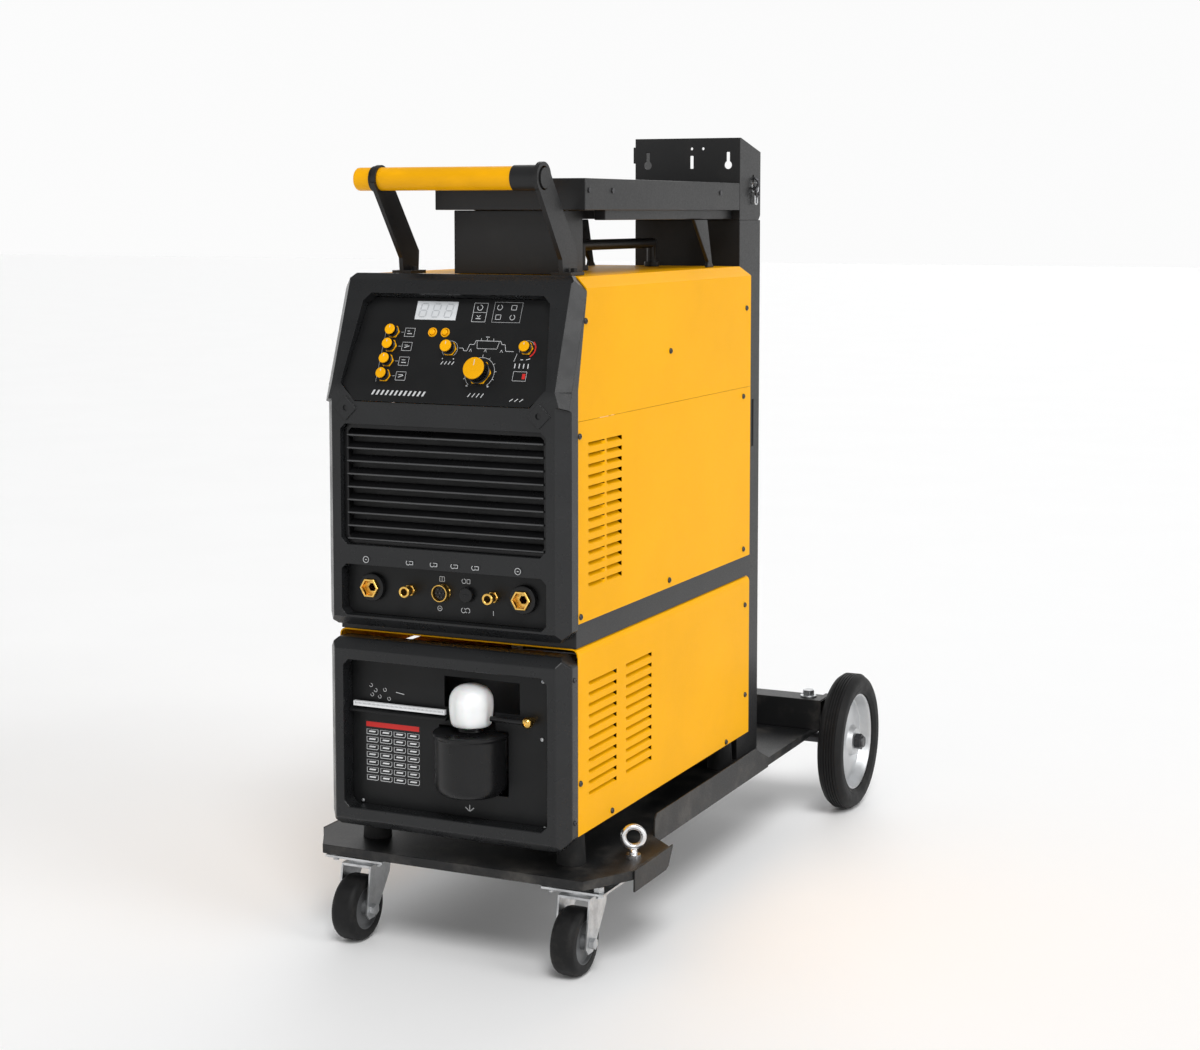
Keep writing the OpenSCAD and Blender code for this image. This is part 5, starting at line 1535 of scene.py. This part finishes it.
class WELDER_OT_rear_and_inside(bpy.types.Operator):
    """Rear wall, fan, switch and gland, and the works inside the cases"""

    bl_idname = "welder.rear_and_inside"
    bl_label = "Rear and inside"

    def execute(self, context):
        softened("rear_panels", "powder_black", 0.8)
        softened("fan_rotor", "black_plastic", 0.4, body="fan_rotor")
        softened("power_switch", "switch_red", 0.8, body="power_switch")
        softened("cable_gland", "black_plastic", 0.5)
        works = {"coolant_tank": "tank_plastic", "radiator": "cooler_aluminium",
                 "coolant_pump": "pump_paint", "inverter_board": "board", "transformer": "winding"}
        for node, coat in works.items():
            coated(coat, node)
        return {"FINISHED"}


# ---------------------------------------------------------------- stage


def pale_floor(scene):
    """A wide plain floor, barely mottled."""
    floor_mesh = bpy.data.meshes.new("floor")
    reach = 40.0
    floor_mesh.from_pydata(
        [(-reach, -reach, 0), (reach, -reach, 0), (reach, reach, 0), (-reach, reach, 0)], [],
        [(0, 1, 2, 3)])
    paint = Look("pale_floor")
    mottle = paint.noise(2.0, 3.0).ease(0.3, 0.7)
    paint.set(colour=paint.mix(mottle, shade(scene.welder_colours.floor, 0.99), scene.welder_colours.floor),
              roughness=mottle * 0.05 + 0.6)
    floor_mesh.materials.append(paint.material)
    floor = bpy.data.objects.new("floor", floor_mesh)
    scene.collection.objects.link(floor)


def place_camera(scene, look):
    """The camera of the given stage."""
    eye = bpy.data.cameras.new("camera")
    eye.lens = look.focal
    eye.sensor_width = 36.0
    eye.shift_y = look.rise
    eye.clip_end = 200
    camera = bpy.data.objects.new("camera", eye)
    camera.location = look.camera
    camera.rotation_euler = Vector(look.aim).to_track_quat("-Z", "Y").to_euler()
    scene.collection.objects.link(camera)
    scene.camera = camera


LAMPS = {
    "key": ((-0.45, 0.7, -1.0), 24, 1.6),
    "side": ((-1.0, 0.15, -0.5), 30, 0.8),
    "back": ((0.2, -1.0, -0.7), 40, 0.5),
}
SKY = {"From Min": 0.08, "From Max": 0.45, "To Min": 0.97, "To Max": 0.4}


def light_up(scene, strength):
    """Three wide lamps, and a world that is brightest towards the horizon."""
    for name, (toward, softness, power) in LAMPS.items():
        lamp = bpy.data.lights.new(name, "SUN")
        lamp.angle = math.radians(softness)
        lamp.energy = power * strength
        lamp_obj = bpy.data.objects.new(name, lamp)
        lamp_obj.rotation_euler = Vector(toward).to_track_quat("-Z", "Y").to_euler()
        scene.collection.objects.link(lamp_obj)
    world = bpy.data.worlds.new("studio")
    world.use_nodes = True
    tree = world.node_tree
    spot = new_node(tree, "ShaderNodeTexCoord").outputs["Generated"]
    rise = new_node(tree, "ShaderNodeSeparateXYZ", {}, {0: spot}).outputs["Z"]
    fade = new_node(tree, "ShaderNodeMapRange", {"interpolation_type": "SMOOTHSTEP"},
                    {"Value": rise, **SKY})
    background = tree.nodes["Background"]
    background.inputs["Color"].default_value = (1, 1, 1, 1)
    feed(tree, background.inputs["Strength"], fade.outputs[0])
    scene.world = world


class WELDER_OT_stage(bpy.types.Operator):
    """Pale floor, soft studio light and the camera"""

    bl_idname = "welder.stage"
    bl_label = "Studio"

    def execute(self, context):
        scene = context.scene
        pale_floor(scene)
        place_camera(scene, scene.welder_stage)
        light_up(scene, scene.welder_stage.light)
        scene.view_settings.view_transform = "Standard"
        return {"FINISHED"}


# ---------------------------------------------------------------- add-on


STEPS = (
    WELDER_OT_side_sheets, WELDER_OT_covers, WELDER_OT_front_frames, WELDER_OT_control_panel,
    WELDER_OT_knobs, WELDER_OT_air_grille, WELDER_OT_sockets, WELDER_OT_cooler_front, WELDER_OT_filler,
    WELDER_OT_screws, WELDER_OT_trolley, WELDER_OT_castors, WELDER_OT_rear_wheels, WELDER_OT_column,
    WELDER_OT_handles, WELDER_OT_rear_and_inside, WELDER_OT_stage,
)


class WELDER_PT_build(bpy.types.Panel):
    """Sidebar list of the welder's pieces"""

    bl_idname = "WELDER_PT_build"
    bl_label = "TIG welding set"
    bl_space_type = "VIEW_3D"
    bl_region_type = "UI"
    bl_category = "Welder"

    def draw(self, context):
        scene = context.scene
        for group in (scene.welder_colours, scene.welder_sizes, scene.welder_stage):
            box = self.layout.box()
            for key in group.bl_rna.properties.keys():
                if key not in ("rna_type", "name"):
                    box.prop(group, key)
        for step in STEPS:
            self.layout.operator(step.bl_idname, text=step.bl_label)


CLASSES = (WelderColours, WelderSizes, WelderStage, *STEPS, WELDER_PT_build)


def register():
    for cls in CLASSES:
        bpy.utils.register_class(cls)
    bpy.types.Scene.welder_colours = bpy.props.PointerProperty(type=WelderColours)
    bpy.types.Scene.welder_sizes = bpy.props.PointerProperty(type=WelderSizes)
    bpy.types.Scene.welder_stage = bpy.props.PointerProperty(type=WelderStage)


def unregister():
    del bpy.types.Scene.welder_stage
    del bpy.types.Scene.welder_sizes
    del bpy.types.Scene.welder_colours
    for cls in reversed(CLASSES):
        bpy.utils.unregister_class(cls)


def main():
    register()
    for step in STEPS:
        group, name = step.bl_idname.split(".")
        if getattr(getattr(bpy.ops, group), name)() != {"FINISHED"}:
            raise RuntimeError(f"{step.bl_idname} didn't finish")


if __name__ == "__main__":
    main()
